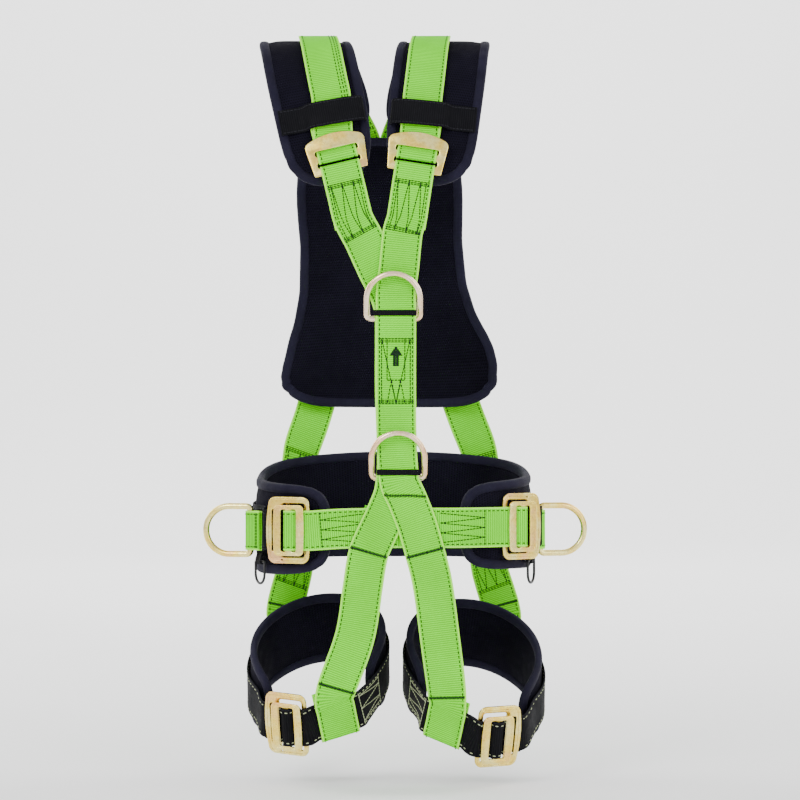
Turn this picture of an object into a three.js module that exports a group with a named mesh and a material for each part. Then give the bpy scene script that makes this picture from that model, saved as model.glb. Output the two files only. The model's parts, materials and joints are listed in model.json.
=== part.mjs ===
// A full-body tree climbing saddle as it hangs on a wearer: webbing, foam pads, attachment
// rings and pass-through buckles, each piece a named mesh.
//
// Millimetres. +Z is up, the wearer faces -Y and their left hand is on +X. The origin is on the
// wearer's axis at the height of the front waist strap.
import * as THREE from "three";

// ---------------------------------------------------------------- driving dimensions
const WEBBING_WIDTH = 45;
const WEB = 1.8; // webbing thickness
const GAP = 0.4; // air between neighbouring layers
const LAYER = WEB + GAP + 0.05; // pitch of stacked webbing

const PAD = { shoulder: 12, back: 12, waist: 14, leg: 11 }; // foam pad thicknesses
const SHOULDER_Z = 556; // middle of the shoulder pads at the top of the shoulder
const SHOULDER_LEAN = { atTop: -25, atChest: -17, chestZ: 382 }; // sideways hang of the shoulders
const LOOP_CENTRE = 90; // leg loops, from the wearer's axis
const LOOP_HALF = { x: 74, y: 82 };
const LOOP_Y = -8;

const SIDES = [
  { name: "right", side: -1 },
  { name: "left", side: 1 },
];

// ---------------------------------------------------------------- materials
const finish = (color, roughness, metalness) =>
  new THREE.MeshStandardMaterial({ color, roughness, metalness });
const GREEN = finish(0x7ee03c, 0.75, 0);
const BLACK_WEB = finish(0x15151a, 0.8, 0);
const PAD_FABRIC = finish(0x15141d, 0.9, 0);
const ZINC = finish(0xe3c48a, 0.32, 1);
const BLACK_STEEL = finish(0x18181b, 0.45, 0.6);
const BLACK_PLASTIC = finish(0x141416, 0.5, 0);

// ---------------------------------------------------------------- vectors and frames
const V = (x, y, z) => new THREE.Vector3(x, y, z);
const X_AXIS = V(1, 0, 0);
const Z_AXIS = V(0, 0, 1);
const degrees = THREE.MathUtils.degToRad;
const mix = THREE.MathUtils.lerp;

// A right-handed local frame: u and v in the plane of a fitting, n out of it.
function makeFrame(origin, n, uHint) {
  const normal = n.clone().normalize();
  const u = uHint.clone().addScaledVector(normal, -uHint.dot(normal)).normalize();
  return { origin, u, v: normal.clone().cross(u), n: normal };
}
const inFrame = (frame, u, v, n) =>
  frame.origin
    .clone()
    .addScaledVector(frame.u, u)
    .addScaledVector(frame.v, v)
    .addScaledVector(frame.n, n);
const frameMatrix = (frame) =>
  new THREE.Matrix4().makeBasis(frame.u, frame.v, frame.n).setPosition(frame.origin);

// ---------------------------------------------------------------- solids
const saddle = new THREE.Group();

function add(name, geometry, material) {
  const mesh = new THREE.Mesh(geometry, material);
  mesh.name = name;
  saddle.add(mesh);
  return mesh;
}

function addInFrame(name, geometry, material, frame) {
  add(name, geometry, material).applyMatrix4(frameMatrix(frame));
}

// A closed solid between an outer and an inner row of points at each station.
function slab(stations, closed = false) {
  const wide = stations[0].outer.length;
  const count = stations.length;
  const position = stations.flatMap(({ outer, inner }) =>
    [...outer, ...inner].flatMap((p) => p.toArray()),
  );
  const outer = (i, j) => (i % count) * 2 * wide + j;
  const inner = (i, j) => outer(i, j) + wide;
  const index = [];
  const quad = (a, b, c, d) => index.push(a, b, c, a, c, d);
  for (let i = 0; i < (closed ? count : count - 1); i++) {
    for (let j = 0; j < wide - 1; j++) {
      quad(outer(i, j), outer(i, j + 1), outer(i + 1, j + 1), outer(i + 1, j));
      quad(inner(i, j), inner(i + 1, j), inner(i + 1, j + 1), inner(i, j + 1));
    }
    const last = wide - 1;
    quad(outer(i, 0), outer(i + 1, 0), inner(i + 1, 0), inner(i, 0));
    quad(outer(i, last), inner(i, last), inner(i + 1, last), outer(i + 1, last));
  }
  if (!closed) {
    const end = count - 1;
    for (let j = 0; j < wide - 1; j++) {
      quad(outer(0, j), inner(0, j), inner(0, j + 1), outer(0, j + 1));
      quad(outer(end, j), outer(end, j + 1), inner(end, j + 1), inner(end, j));
    }
  }
  return new THREE.BufferGeometry()
    .setAttribute("position", new THREE.Float32BufferAttribute(position, 3))
    .setIndex(index);
}

// Evenly spaced stations on a smooth line through rows of [x, y, z, width, turn]. The width
// direction is across, turned about Z by turn degrees.
function stationsOf(rows, steps, across = X_AXIS) {
  const curve = new THREE.CatmullRomCurve3(
    rows.map(([x, y, z]) => V(x, y, z)),
    false,
    "centripetal",
  );
  return Array.from({ length: steps + 1 }, (_, i) => {
    const t = curve.getUtoTmapping(i / steps);
    const at = t * (rows.length - 1);
    const k = Math.min(Math.floor(at), rows.length - 2);
    const column = (c, missing) =>
      mix(rows[k][c] ?? missing, rows[k + 1][c] ?? missing, at - k);
    return {
      p: curve.getPoint(t),
      width: column(3, WEBBING_WIDTH),
      across: across.clone().applyAxisAngle(Z_AXIS, degrees(column(4, 0))),
    };
  });
}

// The direction of travel at each station.
function tangents(stations, closed) {
  const count = stations.length;
  return stations.map((_, i) => {
    const next = stations[closed ? (i + 1) % count : Math.min(i + 1, count - 1)].p;
    const last = stations[closed ? (i + count - 1) % count : Math.max(i - 1, 0)].p;
    return next.clone().sub(last).normalize();
  });
}

// A flat or cupped band through stations. thick is its middle thickness, edge the share of it
// left at the two selvedges, cup how far the edges sit inwards of the middle.
function band(stations, { thick = WEB, rows = 1, edge = 1, cup = 0, closed = false } = {}) {
  const along = tangents(stations, closed);
  return slab(
    stations.map(({ p, width, across, cupped = cup }, i) => {
      const t = along[i];
      const w = across.clone().addScaledVector(t, -across.dot(t)).normalize();
      const n = w.clone().cross(t);
      const row = (sign) =>
        Array.from({ length: rows + 1 }, (_, j) => {
          const s = (2 * j) / rows - 1;
          const half = (thick / 2) * mix(1, edge, s ** 4);
          return p
            .clone()
            .addScaledVector(w, (s * width) / 2)
            .addScaledVector(n, sign * half - cupped * s * s);
        });
      return { outer: row(1), inner: row(-1) };
    }),
    closed,
  );
}

// Webbing on a smooth line through control points, sampled finely where they are close, so the
// turns round a bar stay tight. across is one direction, or one for each control point.
function routed(points, across, width = WEBBING_WIDTH, step = 18) {
  const curve = new THREE.CatmullRomCurve3(points, false, "centripetal");
  const last = points.length - 1;
  const direction = (i) => (Array.isArray(across) ? across[i] : across);
  const stations = [];
  for (let k = 0; k < last; k++) {
    const length = points[k].distanceTo(points[k + 1]);
    const pieces = length < 5 ? 1 : Math.max(2, Math.ceil(length / step));
    for (let j = 0; j < pieces; j++) {
      stations.push({
        p: curve.getPoint((k + j / pieces) / last),
        width,
        across: direction(k).clone().lerp(direction(k + 1), j / pieces),
      });
    }
  }
  stations.push({ p: points[last].clone(), width, across: direction(last) });
  return stations;
}

function webbing(name, points, across, { material = GREEN, width, step, thick } = {}) {
  add(name, band(routed(points, across, width, step), { thick }), material);
}

// Points round a bar, in the plane of two directions, from one angle to another.
function turnRound(centre, a, b, radius, from, to, steps) {
  return Array.from({ length: steps + 1 }, (_, i) => {
    const angle = degrees(mix(from, to, i / steps));
    return centre
      .clone()
      .addScaledVector(a, radius * Math.cos(angle))
      .addScaledVector(b, radius * Math.sin(angle));
  });
}

// ---------------------------------------------------------------- plates
// A rectangle with round corners, and with its -u side bowed out by bow.
function roundedRectangle(Kind, left, right, low, high, r, bow = 0) {
  const path = new Kind();
  path.moveTo(left + r, low);
  path.lineTo(right - r, low);
  path.absarc(right - r, low + r, r, -Math.PI / 2, 0);
  path.lineTo(right, high - r);
  path.absarc(right - r, high - r, r, 0, Math.PI / 2);
  path.lineTo(left + r, high);
  path.absarc(left + r, high - r, r, Math.PI / 2, Math.PI);
  if (bow) path.quadraticCurveTo(left - 2 * bow, (low + high) / 2, left, low + r);
  path.absarc(left + r, low + r, r, Math.PI, 1.5 * Math.PI);
  return path;
}

// A plate from n = low to n = low + thick, with its rims chamfered.
function plate(shape, low, thick, chamfer = 0.6, curveSegments = 2) {
  return new THREE.ExtrudeGeometry(shape, {
    depth: thick - 2 * chamfer,
    bevelThickness: chamfer,
    bevelSize: chamfer,
    bevelOffset: -chamfer,
    bevelSegments: 1,
    curveSegments,
  }).translate(0, 0, low + chamfer);
}

function box(u0, u1, v0, v1, n0, n1) {
  return new THREE.BoxGeometry(u1 - u0, v1 - v0, n1 - n0).translate(
    (u0 + u1) / 2,
    (v0 + v1) / 2,
    (n0 + n1) / 2,
  );
}

// ---------------------------------------------------------------- attachment rings
// A D ring lies in its frame's u-v plane. Its straight bar is centred on the origin along u, and
// its bow rises along v. Its section is a regular octagon.
function dRing({ width, height, stock }) {
  const outline = (Kind, inset) => {
    const half = width / 2 - inset;
    const low = -stock / 2 + inset;
    const bow = height - stock / 2 - width / 2;
    const corner = Math.max(stock * 0.8 - inset, 0.4);
    const path = new Kind();
    path.moveTo(-half + corner, low);
    path.lineTo(half - corner, low);
    path.lineTo(half, low + corner);
    path.lineTo(half, bow);
    for (let quarter = 0; quarter < 4; quarter++) {
      path.absarc(0, bow, half, (quarter * Math.PI) / 4, ((quarter + 1) * Math.PI) / 4);
    }
    path.lineTo(-half, low + corner);
    path.lineTo(-half + corner, low);
    return path;
  };
  const shape = outline(THREE.Shape, 0);
  shape.holes.push(outline(THREE.Path, stock));
  return plate(shape, -stock / 2, stock, stock * 0.29);
}

const RING = {
  front: { width: 66, height: 58, stock: 6.8 },
  dorsal: { width: 84, height: 70, stock: 7 },
  side: { width: 62, height: 60, stock: 7.2 },
  gear: { width: 27, height: 28, stock: 3 },
};

// ---------------------------------------------------------------- shoulders
const shoulderCentre = (z) =>
  mix(
    SHOULDER_LEAN.atChest,
    SHOULDER_LEAN.atTop,
    (z - SHOULDER_LEAN.chestZ) / (SHOULDER_Z - SHOULDER_LEAN.chestZ),
  );

// Offset from the shoulders' own centre, y, z and width, from the top of the back pad over the
// shoulder to the round front end.
const SHOULDER_PAD = [
  [53, 106, 466, 92],
  [57, 104, 492, 96],
  [69, 86, 528, 100],
  [78, 44, 551, 104],
  [81, 0, SHOULDER_Z, 106],
  [77, -38, 541, 107],
  [71, -66, 507, 107],
  [63.5, -84, 462, 105],
  [58.5, -93, 424, 102],
  [57.5, -97, 398, 84],
  [57, -98, 384, 46],
];
const SHOULDER_STEPS = 22;
const STRAP_INSET = 15; // the shoulder webbing lies this far inboard of the pad's middle
const MINUS_X = V(-1, 0, 0);

function shoulderRows(side) {
  return SHOULDER_PAD.map(([offset, y, z, width]) => [
    shoulderCentre(z) + side * offset,
    y,
    z,
    width,
  ]);
}

// Points above the pad's outer face from one station to another, lift clear of the foam.
function overShoulder(side, lift, from, to) {
  const stations = stationsOf(shoulderRows(side), SHOULDER_STEPS, MINUS_X);
  const along = tangents(stations, false);
  const points = stations.map(({ p, across }, i) => {
    const w = across.clone().addScaledVector(along[i], -across.dot(along[i])).normalize();
    const n = w.clone().cross(along[i]);
    return p
      .clone()
      .addScaledVector(n, PAD.shoulder / 2 + lift)
      .addScaledVector(X_AXIS, -side * STRAP_INSET);
  });
  const step = from < to ? 1 : -1;
  return Array.from({ length: Math.abs(to - from) + 1 }, (_, i) => points[from + step * i]);
}

for (const { name, side } of SIDES) {
  const pad = band(stationsOf(shoulderRows(side), SHOULDER_STEPS, MINUS_X), {
    thick: PAD.shoulder,
    rows: 2,
    edge: 0.5,
  });
  add(`shoulder_pad_${name}`, pad, PAD_FABRIC);
}

// ---------------------------------------------------------------- back pad
const BACK_PAD = [
  [-8, 107, 134, 190],
  [-8, 108, 143, 244],
  [-8, 110, 160, 264],
  [-9, 110, 185, 262],
  [-12, 110, 215, 240],
  [-14, 109, 245, 216],
  [-16, 107, 280, 200],
  [-18, 104, 330, 194],
  [-20, 103.5, 390, 200],
  [-20.4, 103.5, 458, 188],
];
const BACK_PAD_CUP = 12;
add(
  "back_pad",
  band(stationsOf(BACK_PAD, 18, MINUS_X), {
    thick: PAD.back,
    rows: 4,
    edge: 0.5,
    cup: BACK_PAD_CUP,
  }),
  PAD_FABRIC,
);

// ---------------------------------------------------------------- waist line
// The waist pad's middle surface follows a superellipse. Angles run from the front centre, to
// the wearer's left when positive.
const WAIST = { x: -3, y: -1, halfX: 154, halfY: 113, power: 2.6 };
const FACE = PAD.waist / 2 + GAP + WEB / 2; // centre of the first webbing layer on the pad

function waistAt(angle) {
  const { x, y, halfX, halfY, power } = WAIST;
  const s = Math.sin(degrees(angle));
  const c = Math.cos(degrees(angle));
  const reach = (value, half) => half * Math.sign(value) * Math.abs(value) ** (2 / power);
  const dx = reach(s, halfX);
  const dy = -reach(c, halfY);
  const slope = (d, half) => (Math.sign(d) * Math.abs(d / half) ** (power - 1)) / half;
  return { p: V(x + dx, y + dy, 0), n: V(slope(dx, halfX), slope(dy, halfY), 0).normalize() };
}

const waistPoint = (angle, offset, z) => {
  const { p, n } = waistAt(angle);
  return p.clone().addScaledVector(n, offset).setZ(z);
};

// The angle, on the back half unless front is set, where the middle surface reaches x.
function waistAngle(x, front = false) {
  const d = x - WAIST.x;
  const fromAxis = Math.asin((Math.abs(d) / WAIST.halfX) ** (WAIST.power / 2));
  const angle = THREE.MathUtils.radToDeg(fromAxis);
  return Math.sign(d) * (front ? angle : 180 - angle);
}
const onBelt = (x, offset, z) => waistPoint(waistAngle(x), offset, z);
const beltTangent = (x) => waistAt(waistAngle(x)).n.cross(Z_AXIS).negate();

// Angle, middle height and height of the pad.
const WAIST_PAD = [
  [-21, -2, 70],
  [-25, -2, 92],
  [-38, -3, 101],
  [-62, -3, 105],
  [-90, 0, 108],
  [-130, 12, 120],
  [-180, 18, 127],
  [-230, 13, 120],
  [-270, 4, 108],
  [-300, 2, 102],
  [-325, 1, 98],
  [-333, 1, 90],
  [-337, 1, 70],
];

function waistStations() {
  const rows = WAIST_PAD.map(([angle, z, height]) => [angle, z, 0, height]);
  return stationsOf(rows, 48).map(({ p, width }) => ({
    p: waistPoint(p.x, 0, p.y),
    width,
    across: Z_AXIS,
  }));
}
add(
  "waist_pad",
  band(waistStations(), { thick: PAD.waist, rows: 2, edge: 0.5 }),
  PAD_FABRIC,
);

// ---------------------------------------------------------------- shoulder adjusters
// A three-bar frame: an arched top bar, a middle bar for the shoulder webbing and a bottom bar
// for the sewn loop of the main webbing. v runs up the webbing and n out of the chest.
const ADJUSTER = { half: 34, eye: 24.5, thick: 3.2, slotTop: 4, bar: 7, slot: 6.5, leg: -25 };
const ADJUSTER_AT = {
  right: { x: -67, z: 423, roll: 14 },
  left: { x: 24, z: 423, roll: -9 },
};
const ADJUSTER_Y = -107.4;
const ADJUSTER_LEAN = 12; // degrees the frame lies back

const adjusterFrames = Object.fromEntries(
  SIDES.map(({ name }) => {
    const { x, z, roll } = ADJUSTER_AT[name];
    const lean = degrees(ADJUSTER_LEAN);
    const tilt = degrees(roll);
    const n = V(0, -Math.cos(lean), Math.sin(lean));
    return [name, makeFrame(V(x, ADJUSTER_Y, z), n, V(Math.cos(tilt), 0, Math.sin(tilt)))];
  }),
);

function adjusterShape() {
  const { half, eye, slotTop, bar, slot, leg } = ADJUSTER;
  const shape = new THREE.Shape();
  shape.moveTo(-half + 6, leg);
  shape.lineTo(half - 6, leg);
  shape.quadraticCurveTo(half - 3, leg, half - 3, leg + 4);
  shape.lineTo(half, 8);
  shape.quadraticCurveTo(half, 14, half - 5, 16);
  shape.quadraticCurveTo(0, 28, -half + 5, 16);
  shape.quadraticCurveTo(-half, 14, -half, 8);
  shape.lineTo(-half + 3, leg + 4);
  shape.quadraticCurveTo(-half + 3, leg, -half + 6, leg);
  for (const high of [slotTop, slotTop - slot - bar]) {
    shape.holes.push(roundedRectangle(THREE.Path, -eye, eye, high - slot, high, 2));
  }
  return shape;
}

for (const { name } of SIDES) {
  const frame = adjusterFrames[name];
  const geometry = plate(adjusterShape(), -ADJUSTER.thick / 2, ADJUSTER.thick);
  addInFrame(`shoulder_adjuster_${name}`, geometry, ZINC, frame);
}
// Webbing centre lines beside the frame, for one layer and for two.
const NEAR = ADJUSTER.thick / 2 + GAP + WEB / 2;
const FAR = NEAR + LAYER;
const middleBar = ADJUSTER.slotTop - ADJUSTER.slot - ADJUSTER.bar / 2;
const bottomBar = middleBar - ADJUSTER.bar - ADJUSTER.slot;

// Control points of webbing turned round a bar from behind to the front, high side first when
// way is 1: the bar's middle, its half height and the layer it clears.
function turnOver(at, bar, half, way, near = NEAR) {
  return [
    at(bar, -near - 0.2),
    at(bar + way * (half + 0.3), -near + 0.6),
    at(bar + way * (half + GAP + WEB / 2), 0),
    at(bar + way * (half + 0.3), near - 0.6),
    at(bar, near + 0.2),
  ];
}

// ---------------------------------------------------------------- shoulder webbing
// From the tail behind the adjuster, round its middle bar, over the shoulder, across the spine
// and down to the opposite hip.
const DORSAL = {
  x: -19.5,
  y: 121,
  z: 398,
  thick: 3,
  half: 46,
  eye: 37,
  bridge: 8,
  window: 28,
  rim: 10,
  lean: 22,
};
const BELT_BACK = { right: -112, left: 98 };

for (const { name, side } of SIDES) {
  const frame = adjusterFrames[name];
  const at = (v, n) => inFrame(frame, 0, v, n);
  const half = ADJUSTER.bar / 2;
  const opposite = side < 0 ? "left" : "right";
  const tail = [
    at(46, -FAR),
    at(20, -FAR),
    at(middleBar + half + 5, -FAR),
    ...turnOver(at, middleBar, half, -1),
    at(middleBar + half + 0.4, NEAR - 0.35),
    at(middleBar + half + 2, 0.1),
    at(middleBar + half + 4.6, -NEAR + 0.5),
    at(14, -NEAR),
  ];
  const over = overShoulder(side, 3.9, 16, 2);
  const lift = side < 0 ? 0 : LAYER + 2.65;
  const { x, y, z } = DORSAL;
  const foot = BELT_BACK[opposite];
  const across = (share) => mix(x, foot, share);
  const rear = [
    V(x + side * 24, y - 7 + lift, z + 62),
    V(x + side * 19, y - 8.1 + lift, z + 47),
    V(x + side * 14.5, y - 7.8 + lift, z + 36),
    V(x + side * 5, y + 10.9 + lift, z + 9),
    V(x - side * 4, y + 10.9 + lift, z - 9),
    V(x - side * 13, y - 7.8 + lift, z - 36),
    V(x - side * 17, y - 8 + lift, z - 47),
    V(across(0.62), y - 2.8, 210),
    V(across(0.87), y - 4.4, 126),
    onBelt(foot, FACE + 1.5, 70),
    onBelt(foot, FACE + 2.7, 26),
    onBelt(foot, FACE + 2.7, 6),
  ];
  const u = frame.u.clone().negate();
  const footward = beltTangent(foot);
  const directions = [
    ...tail.map(() => u),
    ...over.map(() => MINUS_X),
    ...rear.map((_, i) => (i < rear.length - 3 ? MINUS_X : footward)),
  ];
  webbing(`shoulder_webbing_${name}`, [...tail, ...over, ...rear], directions);
}

// A band across the pad that holds the webbing and its tail down.
const SHOULDER_BAND = { z: 462, height: 30, thick: 1.2, lift: 7.6 };

// ---------------------------------------------------------------- leg loops
// Each loop is an ellipse in a plane that rises to the back and falls outboard. Angles run from
// the front, outboard when positive; h is up the webbing.
const LOOP = { fall: 0.15, rise: 34, right: { z: -189, tilt: 18 }, left: { z: -197, tilt: 20 } };
const loopOf = (side) => LOOP[side < 0 ? "right" : "left"];

function loopUp(side) {
  const tilt = degrees(loopOf(side).tilt);
  return V(0, -Math.sin(tilt), Math.cos(tilt));
}

function loopAt(side, angle, offset, h) {
  const a = degrees(angle);
  const n = V(Math.sin(a) / LOOP_HALF.x, -Math.cos(a) / LOOP_HALF.y, 0).normalize();
  const x = LOOP_HALF.x * Math.sin(a) + n.x * offset;
  const y = -LOOP_HALF.y * Math.cos(a) + n.y * offset;
  const up = h + (LOOP.rise * (1 - Math.cos(a))) / 2;
  const tilt = degrees(loopOf(side).tilt);
  const p = V(
    side * (LOOP_CENTRE + x),
    LOOP_Y + y * Math.cos(tilt) - up * Math.sin(tilt),
    loopOf(side).z + y * Math.sin(tilt) + up * Math.cos(tilt) - LOOP.fall * x,
  );
  const normal = V(side * n.x, n.y * Math.cos(tilt), n.y * Math.sin(tilt)).normalize();
  return { p, n: normal };
}
const loopPoint = (...where) => loopAt(...where).p;

// Angle, middle height and height of the leg pad, from the outboard front round the back.
const LEG_PAD = [
  [44, 0, 50],
  [49, 1, 66],
  [70, 3, 80],
  [120, 4, 86],
  [180, 4, 86],
  [240, 3, 86],
  [290, 2, 80],
  [304, 1, 66],
  [309, 1, 50],
];

for (const { name, side } of SIDES) {
  const stations = stationsOf(LEG_PAD.map(([angle, h, height]) => [angle, h, 0, height]), 30);
  const pad = band(
    stations.map(({ p, width }) => ({ p: loopPoint(side, p.x, 0, p.y), width, across: loopUp(side) })),
    { thick: PAD.leg, rows: 2, edge: 0.5 },
  );
  add(`leg_pad_${name}`, pad, PAD_FABRIC);
}
const LEG_FACE = PAD.leg / 2 + GAP + WEB / 2;

// Where the front webbing's loop hangs on each leg webbing.
const LOOP_ON = { right: -15, left: -22.4 };

// A frame on the loop's pad line: u along the leg webbing, v across it and n outwards.
function loopFrame(side, angle, offset = 0, h = 0) {
  const along = loopPoint(side, angle + 1, 0, 0).sub(loopPoint(side, angle - 1, 0, 0));
  const { p, n } = loopAt(side, angle, offset, h);
  return makeFrame(p, n, along.multiplyScalar(-1));
}

// A fold of webbing down the outside of the leg webbing, under it and up the inside. down is 1
// where the frame's v points up and -1 where it points down.
function foldRound(frame, down, outside, top, inside) {
  const at = (h, offset) => inFrame(frame, 0, h * down, offset);
  return [
    at(top, outside + 4),
    at(13, outside + 1.4),
    at(-8, outside),
    at(-23.4, outside - 0.3),
    at(-25.9, outside - LAYER),
    at(-23.4, outside - 2 * LAYER + 0.3),
    at(-10, outside - 2 * LAYER),
    at(inside, outside - 2 * LAYER),
  ];
}

// The leg webbing runs straight where a fold passes round it.
const STRAIGHT = 26;
const straightRun = (frame, offset) =>
  [-1, -0.86, 0.86, 1].map((s) => inFrame(frame, s * STRAIGHT, 0, offset));

const LOOP_FRONT = 16.5; // offset of the front layer of the green loop
const frontFolds = Object.fromEntries(
  SIDES.map(({ name, side }) => [name, loopFrame(side, LOOP_ON[name])]),
);

// ---------------------------------------------------------------- main webbing
// From each adjuster's bottom bar down the chest, under the rings and over the waist strap to a
// loop round that leg's webbing. x, y and z down the front; the left one lies over the right.
const FRONT = {
  right: [
    [-37, -122.5, 325],
    [-20, -122.1, 288],
    [-9, -121.5, 266],
    [-2, -127.2, 244],
    [-1, -127.2, 227],
    [-1, -124, 210],
    [-1, -123, 150],
    [1, -121.8, 88],
    [1, -127.2, 64],
    [-0.5, -127.2, 50],
    [-3, -127.6, 36],
    [-16, -127.6, 5],
    [-30, -127.4, -26],
    [-36, -121.5, -58],
    [-46, -110, -122],
  ],
  left: [
    [8, -124.5, 333],
    [3, -125, 288],
    [0, -124.4, 266],
    [0, -129.8, 244],
    [0, -129.8, 227],
    [0, -126.4, 210],
    [0, -125.4, 150],
    [1, -124, 88],
    [2.5, -129.8, 64],
    [4.2, -129.8, 50],
    [10.6, -130, 36],
    [23, -130, 5],
    [32, -129.6, -26],
    [40, -121.5, -58],
    [49, -111, -122],
  ],
};

for (const { name, side } of SIDES) {
  const frame = adjusterFrames[name];
  const at = (v, n) => inFrame(frame, 0, v, n);
  const half = ADJUSTER.bar / 2;
  const start = [
    at(-88, -6.6),
    at(-52, -3.4),
    at(bottomBar - half - 6, -2.2),
    ...turnOver(at, bottomBar, half, 1),
    at(bottomBar - half - 6, 2.2),
    at(-52, -0.9),
    at(-80, -3.6),
  ];
  const down = FRONT[name].map(([x, y, z]) => V(x, y, z));
  const fold = frontFolds[name];
  const end = foldRound(fold, -side, LOOP_FRONT, 26, 34);
  const directions = [
    ...start.map(() => frame.u),
    ...down.map(() => X_AXIS),
    ...end.map(() => fold.u.clone().multiplyScalar(-side)),
  ];
  webbing(`main_webbing_${name}`, [...start, ...down, ...end], directions);
}

// ---------------------------------------------------------------- chest and back rings
// Each ring's bar lies under the webbing and its bow leans tilt degrees off it.
function addRing(name, size, p, tilt, forward) {
  const t = degrees(tilt);
  const n = V(0, forward * Math.cos(t), (forward < 0 ? -1 : 1) * Math.sin(t));
  addInFrame(name, dRing(size), ZINC, makeFrame(V(...p), n, V(-forward, 0, 0)));
}
const RING_LEAN = 12;
const STERNAL = [-3, -122.5, 234];
const VENTRAL = [2.4, -122.5, 56];
addRing("sternal_ring", RING.front, STERNAL, RING_LEAN, -1);
addRing("ventral_ring", RING.front, VENTRAL, RING_LEAN, -1);

// A thin stitched band across the webbing just above each front ring's bar.
function addRingKeeper(name, x, z) {
  const frame = makeFrame(V(x, -131.6, z), V(0, -1, 0), X_AXIS);
  addInFrame(name, box(-24, 24, 0, 6.5, 0, 1.2), BLACK_WEB, frame);
}
addRingKeeper("sternal_keeper", -1, STERNAL[2] + 3);
addRingKeeper("ventral_keeper", 2.5, VENTRAL[2] + 3);

// ---------------------------------------------------------------- dorsal plate and ring
function addDorsal() {
  const { x, y, z, thick, half, eye, bridge, window, rim, lean } = DORSAL;
  const high = bridge + window + rim;
  const shape = roundedRectangle(THREE.Shape, -half, half, -high, high, 10);
  shape.holes.push(roundedRectangle(THREE.Path, -eye, eye, bridge, bridge + window, 3));
  shape.holes.push(roundedRectangle(THREE.Path, -eye, eye, -bridge - window, -bridge, 3));
  const frame = makeFrame(V(x, y, z), V(0, 1, 0), V(-1, 0, 0));
  addInFrame("dorsal_plate", plate(shape, -thick / 2, thick, 0.5), BLACK_PLASTIC, frame);
  const barY = y + thick / 2 + GAP + RING.dorsal.stock / 2;
  const t = degrees(lean);
  const ringFrame = makeFrame(V(x, barY, z), V(0, Math.cos(t), Math.sin(t)), X_AXIS);
  addInFrame("dorsal_ring", dRing(RING.dorsal), ZINC, ringFrame);
}
addDorsal();

// ---------------------------------------------------------------- pass-through buckles
// An outer frame carries one webbing on its crossbar. The other webbing is sewn round the
// centre bar of an inner frame, which passes through the outer one and rests on top of it.
// u runs inboard and n out of the wearer.
const OUTER = { left: -26, right: 24, half: 37.5, thick: 3.2, bow: 2.5 };
const OUTER_SLOT = { from: -21, to: -15.2, half: 24 };
const OUTER_WINDOW = { from: -9.2, to: 18.5, half: 30 };
const INNER = { u: 2, half: 18, halfHeight: 28.5, thick: 3, n: 8.1 };
const INNER_SLOT = { from: 3, to: 9.2, half: 23.6 };

function outerFrame() {
  const { left, right, half, thick, bow } = OUTER;
  const shape = roundedRectangle(THREE.Shape, left, right, -half, half, 8, bow);
  for (const hole of [OUTER_SLOT, OUTER_WINDOW]) {
    const { from, to } = hole;
    shape.holes.push(roundedRectangle(THREE.Path, from, to, -hole.half, hole.half, 2));
  }
  return plate(shape, -thick / 2, thick, 0.7);
}

function innerFrame() {
  const { u, half, halfHeight, thick, n } = INNER;
  const shape = roundedRectangle(THREE.Shape, u - half, u + half, -halfHeight, halfHeight, 5);
  const { from, to } = INNER_SLOT;
  for (const [low, high] of [[from, to], [-to, -from]]) {
    const hole = roundedRectangle(
      THREE.Path,
      u + low,
      u + high,
      -INNER_SLOT.half,
      INNER_SLOT.half,
      2,
    );
    shape.holes.push(hole);
  }
  return plate(shape, n - thick / 2, thick, 0.6);
}

// Webbing round the inner frame's centre bar, as u and n, from the tail to the main layer.
const INNER_TURN = [
  [18, 2.95],
  [7, 2.95],
  [0.5, 3.5],
  [-3.1, 5.6],
  [-3.3, 8.1],
  [-2, 10.5],
  [2, 11.1],
  [6, 10.5],
  [7.6, 8.3],
  [9.6, 5.7],
  [14, 5.15],
  [19, 5.05],
  [25, 4.1],
];

// Webbing round the outer frame's crossbar, from the main layer outboard to the tail.
const OUTER_TURN = [
  [-34, -5.2],
  [-13, -5.2],
  [-8.7, -4],
  [-7.7, 0],
  [-9.2, 2.8],
  [-12.2, 3.2],
  [-15.2, 2.8],
  [-16.8, 0.2],
  [-18.3, -2.4],
  [-21.5, -2.95],
  [-31, -2.95],
];
const turnPoints = (frame, turn) => turn.map(([u, n]) => inFrame(frame, u, 0, n));

function addBuckle(name, frame) {
  addInFrame(`${name}_outer_frame`, outerFrame(), ZINC, frame);
  addInFrame(`${name}_inner_frame`, innerFrame(), ZINC, frame);
}

// ---------------------------------------------------------------- waist belt
const FRAME_RISE = 2 * WEB + 2 * GAP + LAYER + OUTER.thick / 2; // frame's middle over the pad
const WAIST_BUCKLE = {
  right: { x: -112, z: -3.5, yaw: 21 },
  left: { x: 129, z: 0, yaw: 33 },
};

const waistFrames = Object.fromEntries(
  SIDES.map(({ name, side }) => {
    const { x, z, yaw } = WAIST_BUCKLE[name];
    const a = degrees(yaw);
    const n = V(side * Math.sin(a), -Math.cos(a), 0);
    const origin = waistPoint(waistAngle(x, true), PAD.waist / 2 + FRAME_RISE, z);
    return [name, makeFrame(origin, n, V(-side * Math.cos(a), -Math.sin(a), 0))];
  }),
);

for (const { name } of SIDES) addBuckle(`waist_${name}`, waistFrames[name]);

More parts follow.
